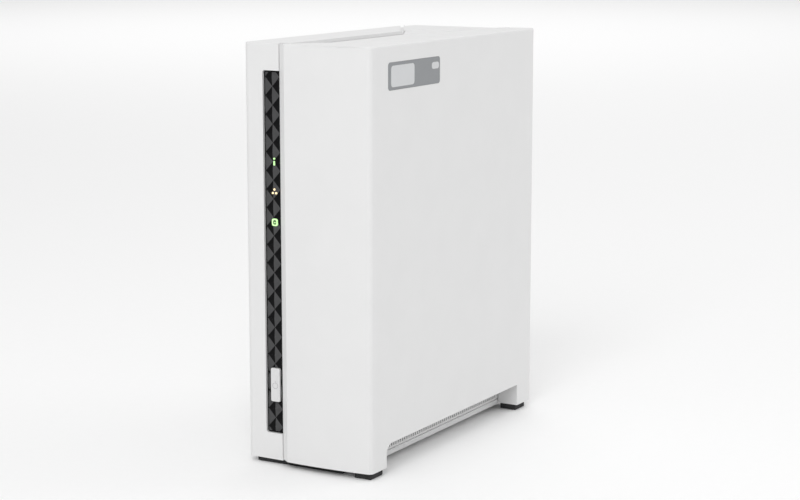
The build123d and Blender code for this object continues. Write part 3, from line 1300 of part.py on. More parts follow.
# Standard bottom mounting holes: distance in from each side, and distances up from the connector end.
HOLE_INSET = 3.18
HOLE_ZS = (41.28, 85.73)
HOLE_R = 1.75
HOLE_DEEP = 6.5
drive_holes = [(y, DRIVE_Z + z) for y in (DRIVE_Y + HOLE_INSET, DRIVE_END - HOLE_INSET) for z in HOLE_ZS]
# Recess for the drive's own board: its margin, and where it starts and ends above the connector end.
RECESS_MARGIN = 8.0
RECESS_Z = (12.0, 78.0)
RECESS_DEEP = 2.2
HOLLOW = (86.0, 126.0, 20.0)
HOLLOW_DEEP = 14.0
SPINDLE_SPOT = (DRIVE_MIDDLE[0], DRIVE_Z + 104.0)
SPINDLE_RINGS = (24.0, 9.0)
RING_WIDE = 1.4
RING_DEEP = 0.2

with BuildPart() as drive_casting:
    box_between((DRIVE_X, DRIVE_Y, DRIVE_Z), (LID_X, DRIVE_END, DRIVE_TOP))
    fillet(drive_casting.edges().filter_by(Axis.X), radius=DRIVE_CORNER_R)
    # recess for the circuit board, pocket for the connector, and the fixing holes
    box_between(
        (DRIVE_X - OVER, DRIVE_Y + RECESS_MARGIN, DRIVE_Z + RECESS_Z[0]),
        (DRIVE_X + RECESS_DEEP, DRIVE_END - RECESS_MARGIN, DRIVE_Z + RECESS_Z[1]),
        mode=Mode.SUBTRACT,
    )
    box_between(
        (DRIVE_X + 1.0, RISER_Y[0] + 1.0, DRIVE_Z - OVER),
        (PLUG_X + PLUG_HALF + 0.8, RISER_Y[1] - 1.0, CONNECTOR_TOP + 0.2),
        mode=Mode.SUBTRACT,
    )
    with BuildSketch(Plane.YZ.offset(DRIVE_X - OVER)):
        for hole_spot in drive_holes:
            with Locations(hole_spot):
                Circle(HOLE_R)
    extrude(amount=HOLE_DEEP + OVER, mode=Mode.SUBTRACT)
    # hollow under the lid
    with BuildSketch(Plane.YZ.offset(LID_X)):
        with Locations(DRIVE_MIDDLE):
            RectangleRounded(*HOLLOW)
    extrude(amount=-HOLLOW_DEEP, mode=Mode.SUBTRACT)
    # rings round the spindle, beside the board
    with BuildSketch(Plane.YZ.offset(DRIVE_X + RING_DEEP)):
        with Locations(SPINDLE_SPOT):
            for ring_r in SPINDLE_RINGS:
                Circle(ring_r)
                Circle(ring_r - RING_WIDE, mode=Mode.SUBTRACT)
    extrude(amount=-RING_DEEP - OVER, mode=Mode.SUBTRACT)
drive_casting.part.label = "drive_casting"
export_step(drive_casting.part, "parts/drive_casting.step")

LID_FIT = 1.0
LID_CORNER_R = 3.0
LID_SCREW_R = 2.0
LID_SCREW_ZS = (6.0, 72.0, 141.0)
LID_SCREW_INSET = 5.0
TRACK_SPOT = (DRIVE_MIDDLE[0], DRIVE_Z + 96.0)
TRACK_R = 44.0
TRACK_WIDE = 1.6
TRACK_DEEP = 0.4
lid_ys = (DRIVE_Y + LID_SCREW_INSET, DRIVE_END - LID_SCREW_INSET)
lid_spots = [(y, DRIVE_Z + z) for y in lid_ys for z in LID_SCREW_ZS]
with BuildPart() as drive_lid:
    with BuildSketch(Plane.YZ.offset(LID_X)):
        with Locations(DRIVE_MIDDLE):
            RectangleRounded(DRIVE_WIDE - LID_FIT, DRIVE_LONG - LID_FIT, LID_CORNER_R)
        for lid_spot in lid_spots:
            with Locations(lid_spot):
                Circle(LID_SCREW_R + 0.1, mode=Mode.SUBTRACT)
    extrude(amount=LID_THICK)
    # shallow pressed track over the platters
    with BuildSketch(Plane.YZ.offset(LID_X + LID_THICK - TRACK_DEEP)):
        with Locations(TRACK_SPOT):
            Circle(TRACK_R)
            Circle(TRACK_R - TRACK_WIDE, mode=Mode.SUBTRACT)
    extrude(amount=TRACK_DEEP + OVER, mode=Mode.SUBTRACT)
drive_lid.part.label = "drive_lid"
export_step(drive_lid.part, "parts/drive_lid.step")

with BuildPart() as drive_lid_screws:
    with BuildSketch(Plane.YZ.offset(LID_X)):
        for lid_spot in lid_spots:
            with Locations(lid_spot):
                Circle(LID_SCREW_R)
                RegularPolygon(LID_SCREW_R * 0.45, 6, mode=Mode.SUBTRACT)
    extrude(amount=LID_THICK - 0.1)
drive_lid_screws.part.label = "drive_lid_screws"
export_step(drive_lid_screws.part, "parts/drive_lid_screws.step")

DRIVE_BOARD_R = 2.0
with BuildPart() as drive_board:
    box_between(
        (DRIVE_X + 0.5, DRIVE_Y + RECESS_MARGIN + 0.4, DRIVE_Z + RECESS_Z[0] + 0.4),
        (DRIVE_X + RECESS_DEEP - 0.1, DRIVE_END - RECESS_MARGIN - 0.4, DRIVE_Z + RECESS_Z[1] - 0.4),
    )
    fillet(drive_board.edges().filter_by(Axis.X), radius=DRIVE_BOARD_R)
drive_board.part.label = "drive_board"
export_step(drive_board.part, "parts/drive_board.step")

# ---------------------------------------------------------------- drive bracket
BRACKET_BACK = DRIVE_X - BRACKET_THICK
BRACKET_CENTRE = (-12.0, 102.5)
BRACKET_WIDE = 117.0
BRACKET_TALL = 159.0
BRACKET_REAR = BRACKET_CENTRE[0] + BRACKET_WIDE / 2
BRACKET_CORNER_R = 4.0
FLANGE_DEEP = 7.0
FLANGE_Z = (30.0, 170.0)
DRIVE_SCREW_R = 1.7
DRIVE_SCREW_LONG = 7.0
DRIVE_HEAD_R = 3.3
DRIVE_HEAD_TALL = 2.2
DRIVE_CROSS = ((1.9, 0.4), (0.4, 1.9))
with BuildPart() as drive_bracket:
    with BuildSketch(Plane.YZ.offset(BRACKET_BACK)):
        with Locations(BRACKET_CENTRE):
            RectangleRounded(BRACKET_WIDE, BRACKET_TALL, BRACKET_CORNER_R)
        for spot in POST_SPOTS + PEG_SPOTS:
            with Locations(spot):
                Circle(PEG_R + 0.1, mode=Mode.SUBTRACT)
        for hole_spot in drive_holes:
            with Locations(hole_spot):
                Circle(DRIVE_SCREW_R + 0.2, mode=Mode.SUBTRACT)
    extrude(amount=BRACKET_THICK)
    # stiffening flange along the rear edge
    box_between(
        (BRACKET_BACK - FLANGE_DEEP, BRACKET_REAR - BRACKET_THICK, FLANGE_Z[0]),
        (BRACKET_BACK + BRACKET_THICK / 2, BRACKET_REAR, FLANGE_Z[1]),
    )
drive_bracket.part.label = "drive_bracket"
export_step(drive_bracket.part, "parts/drive_bracket.step")

with BuildPart() as drive_screws:
    for spot_y, spot_z in drive_holes:
        with BuildSketch(Plane.YZ.offset(BRACKET_BACK)):
            with Locations((spot_y, spot_z)):
                Circle(DRIVE_HEAD_R)
        extrude(amount=-DRIVE_HEAD_TALL)
        with BuildSketch(Plane.YZ.offset(BRACKET_BACK)):
            with Locations((spot_y, spot_z)):
                Circle(DRIVE_SCREW_R)
        extrude(amount=DRIVE_SCREW_LONG)
        for slot_y, slot_z in DRIVE_CROSS:
            box_between(
                (BRACKET_BACK - DRIVE_HEAD_TALL - OVER, spot_y - slot_y, spot_z - slot_z),
                (BRACKET_BACK - DRIVE_HEAD_TALL / 2, spot_y + slot_y, spot_z + slot_z),
                mode=Mode.SUBTRACT,
            )
drive_screws.part.label = "drive_screws"
export_step(drive_screws.part, "parts/drive_screws.step")

# ---------------------------------------------------------------- base screws, side label
with BuildPart() as base_screws:
    for boss_y in BASE_BOSS_YS:
        with BuildSketch(Plane.XZ.offset(-boss_y)):
            with BuildLine():
                Polyline(
                    (BASE_BOSS_X, SHELL_BOTTOM + HEAD_SUNK),
                    (BASE_BOSS_X + SINK_HEAD_R, SHELL_BOTTOM + HEAD_SUNK),
                    (BASE_BOSS_X + M3_R, SHELL_BOTTOM + SINK_DEEP),
                    (BASE_BOSS_X + M3_R, SHELL_BOTTOM + BASE_SCREW_LONG),
                    (BASE_BOSS_X, SHELL_BOTTOM + BASE_SCREW_LONG),
                    close=True,
                )
            make_face()
        revolve(axis=Axis((BASE_BOSS_X, boss_y, 0), (0, 0, 1)))
        for slot_x, slot_y in SMALL_CROSS:
            box_between(
                (BASE_BOSS_X - slot_x, boss_y - slot_y, SHELL_BOTTOM),
                (BASE_BOSS_X + slot_x, boss_y + slot_y, SHELL_BOTTOM + CROSS_DEEP),
                mode=Mode.SUBTRACT,
            )
base_screws.part.label = "base_screws"
export_step(base_screws.part, "parts/base_screws.step")

with BuildPart() as side_label:
    with BuildSketch(Plane.YZ.offset(HALF_W - LABEL_SINK - LABEL_THICK)):
        with Locations(LABEL_CENTRE):
            RectangleRounded(LABEL_LONG, LABEL_TALL, LABEL_CORNER)
    extrude(amount=LABEL_THICK)
side_label.part.label = "side_label"
export_step(side_label.part, "parts/side_label.step")
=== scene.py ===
"""The looks of a desktop network storage unit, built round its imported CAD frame."""
import json
import math
import random

import bmesh
import bpy
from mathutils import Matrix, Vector


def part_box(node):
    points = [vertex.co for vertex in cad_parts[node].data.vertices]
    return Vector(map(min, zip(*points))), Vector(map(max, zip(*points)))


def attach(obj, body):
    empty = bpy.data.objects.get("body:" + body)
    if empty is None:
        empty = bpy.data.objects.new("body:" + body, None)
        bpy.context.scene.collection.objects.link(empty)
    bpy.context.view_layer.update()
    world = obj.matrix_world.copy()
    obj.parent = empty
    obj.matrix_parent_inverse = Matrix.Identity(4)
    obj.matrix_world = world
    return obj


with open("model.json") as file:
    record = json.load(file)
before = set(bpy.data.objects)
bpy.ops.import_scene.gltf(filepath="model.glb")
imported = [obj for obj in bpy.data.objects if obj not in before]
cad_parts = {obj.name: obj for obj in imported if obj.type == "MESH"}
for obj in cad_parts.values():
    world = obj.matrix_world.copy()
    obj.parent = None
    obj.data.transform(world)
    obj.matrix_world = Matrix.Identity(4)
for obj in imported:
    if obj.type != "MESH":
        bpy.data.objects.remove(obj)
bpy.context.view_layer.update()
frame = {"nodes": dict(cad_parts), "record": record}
scene = bpy.context.scene
MM = 0.001

# Side label: blocks as shares of the label's own size
LABEL_INK = 0.04 * MM
LABEL_BLOCK = {"along": 0.28, "up": 0.49, "wide": 0.44, "tall": 0.77, "corner": 1.6 * MM}
LABEL_BADGE = {"along": 0.91, "up": 0.68, "wide": 0.14, "tall": 0.25, "corner": 1.3 * MM}

# Mark on the power button
MARK_DROP = 0.3 * MM
MARK_INNER = 1.2 * MM
MARK_OUTER = 1.45 * MM
MARK_FRONT = 0.06 * MM
MARK_BACK = 0.16 * MM
MARK_GAP = math.radians(24.0)
MARK_STEPS = 48
STROKE_HALF = 0.12 * MM
STROKE_FROM = 0.65 * MM
STROKE_TO = 2.1 * MM

# Dark middle of the disk light
CORE_HALF = 0.83 * MM
CORE_TALL = 0.98 * MM
CORE_RECESS = 0.25 * MM
CORE_FLOOR = 1.8 * MM
CORE_MARK = 0.3 * MM

# Small parts on the mainboard, with the material index of each kind
CHIP_LENGTH = 1.6 * MM
CHIP_WIDTH = 0.8 * MM
CHIP_END = 0.3 * MM
CHIP_PITCH = 1.5 * MM
RESISTOR_TALL = 0.5 * MM
CAPACITOR_TALL = 0.85 * MM
RESISTOR = 1
CAPACITOR = 2
CHIP_COUNT = 90
CHIP_TRIES = 400
JOINT_PITCH = 1.27 * MM
BOARD_CLEAR = 6.0 * MM
BOARD_FRONT_CLEAR = 4.0 * MM
BOARD_REAR_CLEAR = 12.0 * MM
OBSTACLE_RISE = 3.0 * MM
OBSTACLE_SINK = 0.2 * MM
PANEL_SIZE = 60.0 * MM

# Drive label
PAPER_WIDE = 70.0 * MM
PAPER_TALL = 78.0 * MM
PAPER_THICK = 0.08 * MM
INK_THICK = 0.03 * MM
LINE_WIDTHS = (44.0 * MM, 56.0 * MM, 38.0 * MM, 50.0 * MM)
LINE_PITCH = 8.0 * MM
LINE_TALL = 2.4 * MM

# Contacts and liners in the ports
SPRING_COUNT = 8
SPRING_PITCH = 1.02 * MM
BLADE_OFFSETS = (-3.5 * MM, -1.0 * MM, 1.0 * MM, 3.5 * MM)

# Camera
CAMERA_PLACE = (0.4566, -0.7861, 0.2467)
CAMERA_LENS = 88.49
CAMERA_AZIMUTH = math.radians(29.974)
CAMERA_DOWN = math.radians(9.903)

# Floor and surrounding light
FLOOR_HALF = 6.0
FLOOR_DROP = 0.0001
WORLD_STRENGTH = 0.637


# ---------------------------------------------------------------- materials
def start_material(name, color, roughness, metallic=0.0, coat=0.0):
    """A material with its Principled shader's own sockets set, and its object coordinates."""
    material = bpy.data.materials.new(name)
    material.use_nodes = True
    shader = material.node_tree.nodes["Principled BSDF"]
    shader.inputs["Base Color"].default_value = (*color, 1.0)
    shader.inputs["Roughness"].default_value = roughness
    shader.inputs["Metallic"].default_value = metallic
    shader.inputs["Coat Weight"].default_value = coat
    shader.inputs["Coat Roughness"].default_value = 0.08
    coords = material.node_tree.nodes.new("ShaderNodeTexCoord")
    return material, material.node_tree, shader, coords.outputs["Object"]


def noise(tree, vector, scale, detail=3.0, stretch=(1.0, 1.0, 1.0)):
    """Noise with a given number of features per metre, stretched along the axes."""
    mapping = tree.nodes.new("ShaderNodeMapping")
    mapping.inputs["Scale"].default_value = stretch
    tree.links.new(vector, mapping.inputs["Vector"])
    node = tree.nodes.new("ShaderNodeTexNoise")
    node.inputs["Scale"].default_value = scale
    node.inputs["Detail"].default_value = detail
    tree.links.new(mapping.outputs["Vector"], node.inputs["Vector"])
    return node.outputs["Fac"]


def spread(tree, value, low, high):
    """Maps the middle of a noise's range onto low to high."""
    node = tree.nodes.new("ShaderNodeMapRange")
    node.inputs["From Min"].default_value = 0.3
    node.inputs["From Max"].default_value = 0.7
    node.inputs["To Min"].default_value = low
    node.inputs["To Max"].default_value = high
    tree.links.new(value, node.inputs["Value"])
    return node.outputs["Result"]


def mix_colors(tree, factor, first, second):
    """Mixes two colours, each a tuple or the output of a node."""
    node = tree.nodes.new("ShaderNodeMix")
    node.data_type = "RGBA"
    tree.links.new(factor, node.inputs["Factor"])
    for socket, color in ((node.inputs[6], first), (node.inputs[7], second)):
        if isinstance(color, tuple):
            socket.default_value = (*color, 1.0)
        else:
            tree.links.new(color, socket)
    return node.outputs[2]


def bump(tree, shader, height, strength, distance):
    """Gives the shader a bump of a real depth in metres."""
    node = tree.nodes.new("ShaderNodeBump")
    node.inputs["Strength"].default_value = strength
    node.inputs["Distance"].default_value = distance
    tree.links.new(height, node.inputs["Height"])
    tree.links.new(node.outputs["Normal"], shader.inputs["Normal"])


def shade(color, factor):
    """A colour made lighter or darker by a factor."""
    return tuple(channel * factor for channel in color)


def moulded(name, color, roughness, grain=2600.0, depth=0.00003, coat=0.0, variation=0.03):
    """Moulded plastic or rubber: fine grain, slight mottling and handled patches."""
    material, tree, shader, vector = start_material(name, color, roughness, coat=coat)
    mottle = noise(tree, vector, 60.0, 4.0)
    tone = mix_colors(tree, mottle, shade(color, 1.0 - variation), shade(color, 1.0 + variation / 3))
    tree.links.new(tone, shader.inputs["Base Color"])
    handled = noise(tree, vector, 110.0, 5.0)
    tree.links.new(spread(tree, handled, roughness - 0.05, roughness + 0.07), shader.inputs["Roughness"])
    bump(tree, shader, noise(tree, vector, grain, 2.0), 0.35, depth)
    return material


def metal(name, color, roughness, stretch=(1.0, 1.0, 1.0), grain=1500.0, variation=0.12):
    """Plated, cast or brushed metal: stretch sets the direction of the brushing."""
    material, tree, shader, vector = start_material(name, color, roughness, metallic=1.0)
    streaks = noise(tree, vector, grain, 4.0, stretch)
    tone = mix_colors(tree, streaks, shade(color, 1.0 - variation), color)
    tree.links.new(tone, shader.inputs["Base Color"])
    tree.links.new(spread(tree, streaks, roughness - 0.08, roughness + 0.12), shader.inputs["Roughness"])
    bump(tree, shader, streaks, 0.25, 0.00002)
    return material


def lamp(name, color, strength):
    """A lit, slightly cloudy light pipe."""
    material, tree, shader, vector = start_material(name, color, 0.3, coat=0.3)
    cloud = noise(tree, vector, 900.0, 3.0)
    tone = mix_colors(tree, cloud, shade(color, 0.8), color)
    tree.links.new(tone, shader.inputs["Base Color"])
    tree.links.new(tone, shader.inputs["Emission Color"])
    shader.inputs["Emission Strength"].default_value = strength
    tree.links.new(spread(tree, cloud, 0.22, 0.4), shader.inputs["Roughness"])
    bump(tree, shader, cloud, 0.2, 0.00002)
    return material


def circuit_board(name):
    """Solder mask with tracks in two directions, raised over the copper."""
    mask = (0.012, 0.105, 0.045)
    material, tree, shader, vector = start_material(name, mask, 0.38, coat=0.35)
    swap = tree.nodes.new("ShaderNodeMapping")
    swap.inputs["Rotation"].default_value = (0.0, math.pi / 2, 0.0)
    tree.links.new(vector, swap.inputs["Vector"])
    tracks = tree.nodes.new("ShaderNodeTexBrick")
    tracks.inputs["Scale"].default_value = 180.0
    tracks.inputs["Mortar Size"].default_value = 0.035
    tracks.inputs["Brick Width"].default_value = 1.7
    tracks.inputs["Row Height"].default_value = 0.31
    tree.links.new(swap.outputs["Vector"], tracks.inputs["Vector"])
    patches = spread(tree, noise(tree, vector, 70.0, 1.0), 0.0, 1.0)
    copper = tree.nodes.new("ShaderNodeMath")
    copper.operation = "MULTIPLY"
    tree.links.new(tracks.outputs["Fac"], copper.inputs[0])
    tree.links.new(patches, copper.inputs[1])
    tone = mix_colors(tree, copper.outputs[0], mask, (0.035, 0.22, 0.075))
    tree.links.new(tone, shader.inputs["Base Color"])
    tree.links.new(spread(tree, patches, 0.3, 0.42), shader.inputs["Roughness"])
    bump(tree, shader, copper.outputs[0], 0.5, 0.00004)
    return material


def winding(name):
    """Enamelled copper wire, seen as fine parallel turns, with painted shade in the grooves between them."""
    color = (0.55, 0.2, 0.07)
    material, tree, shader, vector = start_material(name, color, 0.3, metallic=1.0)
    turns = tree.nodes.new("ShaderNodeTexWave")
    turns.bands_direction = "Y"
    turns.inputs["Scale"].default_value = 700.0
    turns.inputs["Distortion"].default_value = 0.6
    tree.links.new(vector, turns.inputs["Vector"])
    # Painted shade: the colour darkens where the bump dips, in the grooves between turns.
    tone = mix_colors(tree, turns.outputs["Fac"], shade(color, 0.35), color)
    tree.links.new(tone, shader.inputs["Base Color"])
    tree.links.new(spread(tree, turns.outputs["Fac"], 0.45, 0.25), shader.inputs["Roughness"])
    bump(tree, shader, turns.outputs["Fac"], 0.8, 0.0001)
    return material


def lens_with_painted_facet_light(name):
    """Dark lens with painted light and shade: facets that face left get a painted-shade black, and facets
    that face right get a painted lit grey.
    """
    # Painted shade black for facets facing left, painted lit grey for facets facing right.
    painted_shade_black = (0.005, 0.005, 0.0055)
    painted_lit_grey = (0.078, 0.078, 0.08)
    material, tree, shader, vector = start_material(name, painted_shade_black, 0.22)
    shader.inputs["Specular IOR Level"].default_value = 0.06
    # Painted light and shade by facet direction: the colour switches from black to lit grey as the facet
    # turns to face right.
    geometry = tree.nodes.new("ShaderNodeNewGeometry")
    split = tree.nodes.new("ShaderNodeSeparateXYZ")
    tree.links.new(geometry.outputs["True Normal"], split.inputs["Vector"])
    side = tree.nodes.new("ShaderNodeMapRange")
    side.inputs["From Min"].default_value = 0.02
    side.inputs["From Max"].default_value = 0.05
    tree.links.new(split.outputs["X"], side.inputs["Value"])
    cloud = noise(tree, vector, 400.0, 3.0)
    grey = mix_colors(tree, cloud, shade(painted_lit_grey, 0.85), painted_lit_grey)
    tree.links.new(mix_colors(tree, side.outputs["Result"], painted_shade_black, grey), shader.inputs["Base Color"])
    tree.links.new(spread(tree, cloud, 0.16, 0.3), shader.inputs["Roughness"])
    bump(tree, shader, noise(tree, vector, 1800.0, 2.0), 0.1, 0.000005)
    return material


FINISHES = {
    "shell_white": moulded("shell_white", (0.76, 0.76, 0.76), 0.42),
    "rear_white": moulded("rear_white", (0.71, 0.71, 0.71), 0.48),
    "button_white": moulded("button_white", (0.69, 0.69, 0.69), 0.36, grain=1800.0),
    "rubber_dark": moulded("rubber_dark", (0.022, 0.022, 0.023), 0.78, 1400.0, 0.00008, variation=0.2),
    "lens_black": lens_with_painted_facet_light("lens_black"),
    "light_green": lamp("light_green", (0.50, 0.86, 0.36), 0.9),
    "light_amber": lamp("light_amber", (0.92, 0.74, 0.44), 0.9),
    "board_green": circuit_board("board_green"),
    "switch_black": moulded("switch_black", (0.02, 0.02, 0.021), 0.42),
    "connector_black": moulded("connector_black", (0.018, 0.018, 0.019), 0.46),
    "connector_white": moulded("connector_white", (0.72, 0.70, 0.64), 0.45),
    "fan_black": moulded("fan_black", (0.016, 0.016, 0.017), 0.42, 1600.0, 0.00004),
    "lead_black": moulded("lead_black", (0.02, 0.02, 0.021), 0.5),
    "chip_black": moulded("chip_black", (0.03, 0.03, 0.032), 0.6, 3200.0, 0.00005),
    "led_clear": moulded("led_clear", (0.75, 0.78, 0.72), 0.25, coat=0.4),
    "label_grey": moulded("label_grey", (0.255, 0.265, 0.275), 0.4, 1500.0, 0.00001),
    "copper": winding("copper"),
    "screw_steel": metal("screw_steel", (0.62, 0.62, 0.61), 0.28),
    "heatsink_aluminium": metal("heatsink_aluminium", (0.66, 0.67, 0.69), 0.36, (1.0, 1.0, 14.0), 500.0),
    "can_aluminium": metal("can_aluminium", (0.68, 0.68, 0.70), 0.26, (12.0, 1.0, 1.0), 500.0),
    "cell_steel": metal("cell_steel", (0.66, 0.66, 0.65), 0.25, (1.0, 1.0, 10.0), 600.0),
    "jack_steel": metal("jack_steel", (0.68, 0.68, 0.66), 0.3, (1.0, 1.0, 12.0), 500.0),
    "drive_aluminium": metal("drive_aluminium", (0.40, 0.41, 0.43), 0.5, grain=900.0, variation=0.25),
    "lid_steel": metal("lid_steel", (0.55, 0.56, 0.57), 0.33, (1.0, 1.0, 18.0), 300.0),
    "bracket_steel": metal("bracket_steel", (0.52, 0.53, 0.54), 0.4, (1.0, 12.0, 1.0), 350.0),
}
GOLD = metal("contact_gold", (0.75, 0.52, 0.16), 0.25)
TIN = metal("solder_tin", (0.6, 0.61, 0.62), 0.35, grain=2500.0)
CERAMIC = moulded("ceramic_tan", (0.36, 0.25, 0.14), 0.5, 2500.0)
PRINT_LIGHT = moulded("print_light", (0.62, 0.63, 0.64), 0.4, 1500.0, 0.00001)
PRINT_FAINT = moulded("print_faint", (0.42, 0.42, 0.43), 0.45, 1500.0, 0.00001)
PAPER = moulded("paper_white", (0.74, 0.74, 0.72), 0.55, 1800.0, 0.00002)
PRINT_DARK = moulded("print_dark", (0.05, 0.05, 0.055), 0.5, 1800.0, 0.00001)

for subpart in frame["record"]["subparts"]:
    node = frame["nodes"][subpart["node"]]
    node.data.materials.clear()
    node.data.materials.append(FINISHES[subpart["material_slot"]])


# ---------------------------------------------------------------- mesh helpers
def add_box(mesh, low, high, bevel, index=0):
    """Adds a box with rounded edges, and gives its faces a material index."""
    before = set(mesh.faces)
    corners = bmesh.ops.create_cube(mesh, size=1.0)["verts"]
    for vertex in corners:
        vertex.co = Vector(low[i] + (vertex.co[i] + 0.5) * (high[i] - low[i]) for i in range(3))
    edges = {edge for vertex in corners for edge in vertex.link_edges}
    bmesh.ops.bevel(mesh, geom=list(edges), offset=bevel, segments=2, profile=0.5, affect="EDGES")
    for face in mesh.faces:
        if face not in before:
            face.material_index = index


def add_slab(mesh, centre, width, height, corner, thickness, index=0):
    """Adds a thin slab with rounded corners on a plane of constant X, raised towards +X."""
    outline = []
    arc_steps = 8
    for quadrant, (side_y, side_z) in enumerate(((1, 1), (-1, 1), (-1, -1), (1, -1))):
        for step in range(arc_steps + 1):
            angle = math.pi / 2 * (quadrant + step / arc_steps)
            outline.append((
                centre[1] + side_y * (width / 2 - corner) + corner * math.cos(angle),
                centre[2] + side_z * (height / 2 - corner) + corner * math.sin(angle),
            ))
    back = [mesh.verts.new((centre[0], y, z)) for y, z in outline]
    front = [mesh.verts.new((centre[0] + thickness, y, z)) for y, z in outline]
    faces = [mesh.faces.new(front), mesh.faces.new(back[::-1])]
    count = len(outline)
    for i in range(count):
        j = (i + 1) % count
        faces.append(mesh.faces.new((back[i], back[j], front[j], front[i])))
    for face in faces:
        face.material_index = index


def finish_piece(mesh, name, materials, body):
    """Turns a bmesh into a named piece that rides on a body."""
    bmesh.ops.recalc_face_normals(mesh, faces=mesh.faces)
    data = bpy.data.meshes.new(name)
    mesh.to_mesh(data)
    mesh.free()
    for material in materials:
        data.materials.append(material)
    piece = bpy.data.objects.new(name, data)
    scene.collection.objects.link(piece)
    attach(piece, body)
    return piece


# ---------------------------------------------------------------- side label
def make_label_print():
    """Two plain printed blocks on the side label."""
    low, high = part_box("side_label")
    long = high.y - low.y
    tall = high.z - low.z
    mesh = bmesh.new()
    for block in (LABEL_BLOCK, LABEL_BADGE):
        centre = (high.x, low.y + block["along"] * long, low.z + block["up"] * tall)
        add_slab(mesh, centre, block["wide"] * long, block["tall"] * tall, block["corner"], LABEL_INK)
    finish_piece(mesh, "label_print", [PRINT_LIGHT], "cover")


def make_button_mark():
    """A faint grey ring with an upright stroke, printed in the power button's engraving."""
    low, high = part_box("power_button")
    centre_x = (low.x + high.x) / 2
    centre_z = (low.z + high.z) / 2 - MARK_DROP
    front = low.y + MARK_FRONT
    back = low.y + MARK_BACK
    section = ((MARK_INNER, front), (MARK_OUTER, front), (MARK_OUTER, back), (MARK_INNER, back))
    mesh = bmesh.new()
    rings = []
    for i in range(MARK_STEPS + 1):
        angle = math.pi / 2 + MARK_GAP + (2 * math.pi - 2 * MARK_GAP) * i / MARK_STEPS
        rings.append([
            mesh.verts.new((centre_x + radius * math.cos(angle), y, centre_z + radius * math.sin(angle)))
            for radius, y in section
        ])
    for first, second in zip(rings, rings[1:]):
        for i in range(4):
            j = (i + 1) % 4
            mesh.faces.new((first[i], first[j], second[j], second[i]))
    mesh.faces.new(rings[0])
    mesh.faces.new(rings[-1][::-1])
    stroke_low = (centre_x - STROKE_HALF, front, centre_z + STROKE_FROM)
    stroke_high = (centre_x + STROKE_HALF, back, centre_z + STROKE_TO)
    add_box(mesh, stroke_low, stroke_high, 0.02 * MM)
    finish_piece(mesh, "button_mark", [PRINT_FAINT], "power_button")


def make_disk_light_core():
    """The dark middle of the disk light, with a small lit mark in it."""
    low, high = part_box("disk_light_pipe")
    middle = (low + high) / 2
    floor_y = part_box("lens_strip")[1].y - CORE_FLOOR
    face_y = low.y + CORE_RECESS
    mesh = bmesh.new()
    core_low = (middle.x - CORE_HALF, face_y, middle.z - CORE_TALL)
    core_high = (middle.x + CORE_HALF, floor_y, middle.z + CORE_TALL)
    add_box(mesh, core_low, core_high, 0.25 * MM)
    mark_low = (middle.x - CORE_MARK, face_y - 0.05 * MM, middle.z - 1.6 * CORE_MARK)
    mark_high = (middle.x + CORE_MARK, face_y + 0.1 * MM, middle.z + CORE_MARK)
    add_box(mesh, mark_low, mark_high, 0.08 * MM, 1)
    finishes = [FINISHES["lens_black"], FINISHES["light_green"]]
    finish_piece(mesh, "disk_light_core", finishes, "chassis")


# ---------------------------------------------------------------- mainboard parts
def board_obstacles(face_x):
    """Boxes, in Y and Z, of everything that stands on the mainboard."""
    found = []
    for name in frame["nodes"]:
        low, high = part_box(name)
        stands_on_board = low.x < face_x + OBSTACLE_RISE and high.x > face_x - OBSTACLE_SINK
        small = high.y - low.y < PANEL_SIZE and high.z - low.z < PANEL_SIZE
        if name != "mainboard" and stands_on_board and small:
            found.append((low, high))
    for name in ("memory_chips", "small_chips", "capacitors", "board_screws"):
        found.append(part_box(name))
    return found


def add_chip(mesh, face_x, start, z, kind):
    """Adds one chip resistor or capacitor: a tin end each side of its body."""
    tall = RESISTOR_TALL if kind == RESISTOR else CAPACITOR_TALL
    stop = start + CHIP_LENGTH
    for end_low, end_high in ((start, start + CHIP_END), (stop - CHIP_END, stop)):
        add_box(mesh, (face_x, end_low, z), (face_x + tall, end_high, z + CHIP_WIDTH), 0.05 * MM)
    body_low = (face_x, start + CHIP_END, z + 0.02 * MM)
    body_high = (face_x + tall - 0.03 * MM, stop - CHIP_END, z + CHIP_WIDTH - 0.02 * MM)
    add_box(mesh, body_low, body_high, 0.04 * MM, kind)


def make_board_passives():
    """Small chip resistors and capacitors in short rows, where the board is free."""
    low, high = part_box("mainboard")
    face_x = high.x
    obstacles = board_obstacles(face_x)
    draw = random.Random(11)
    mesh = bmesh.new()
    placed = 0
    for _ in range(CHIP_TRIES):
        if placed >= CHIP_COUNT:
            break
        row_y = draw.uniform(low.y + BOARD_FRONT_CLEAR, high.y - BOARD_REAR_CLEAR)
        row_z = draw.uniform(low.z + BOARD_CLEAR, high.z - BOARD_CLEAR)
        in_row = draw.randint(1, 4)
        reach = in_row * CHIP_PITCH + CHIP_LENGTH
        kind = draw.choice((RESISTOR, CAPACITOR))
        if any(a.y - reach < row_y < b.y + reach and a.z - reach < row_z < b.z + reach for a, b in obstacles):
            continue
        for i in range(in_row):
            add_chip(mesh, face_x, row_y - CHIP_LENGTH / 2, row_z + i * CHIP_PITCH, kind)
            placed += 1
    finish_piece(mesh, "board_passives", [TIN, FINISHES["chip_black"], CERAMIC], "chassis")


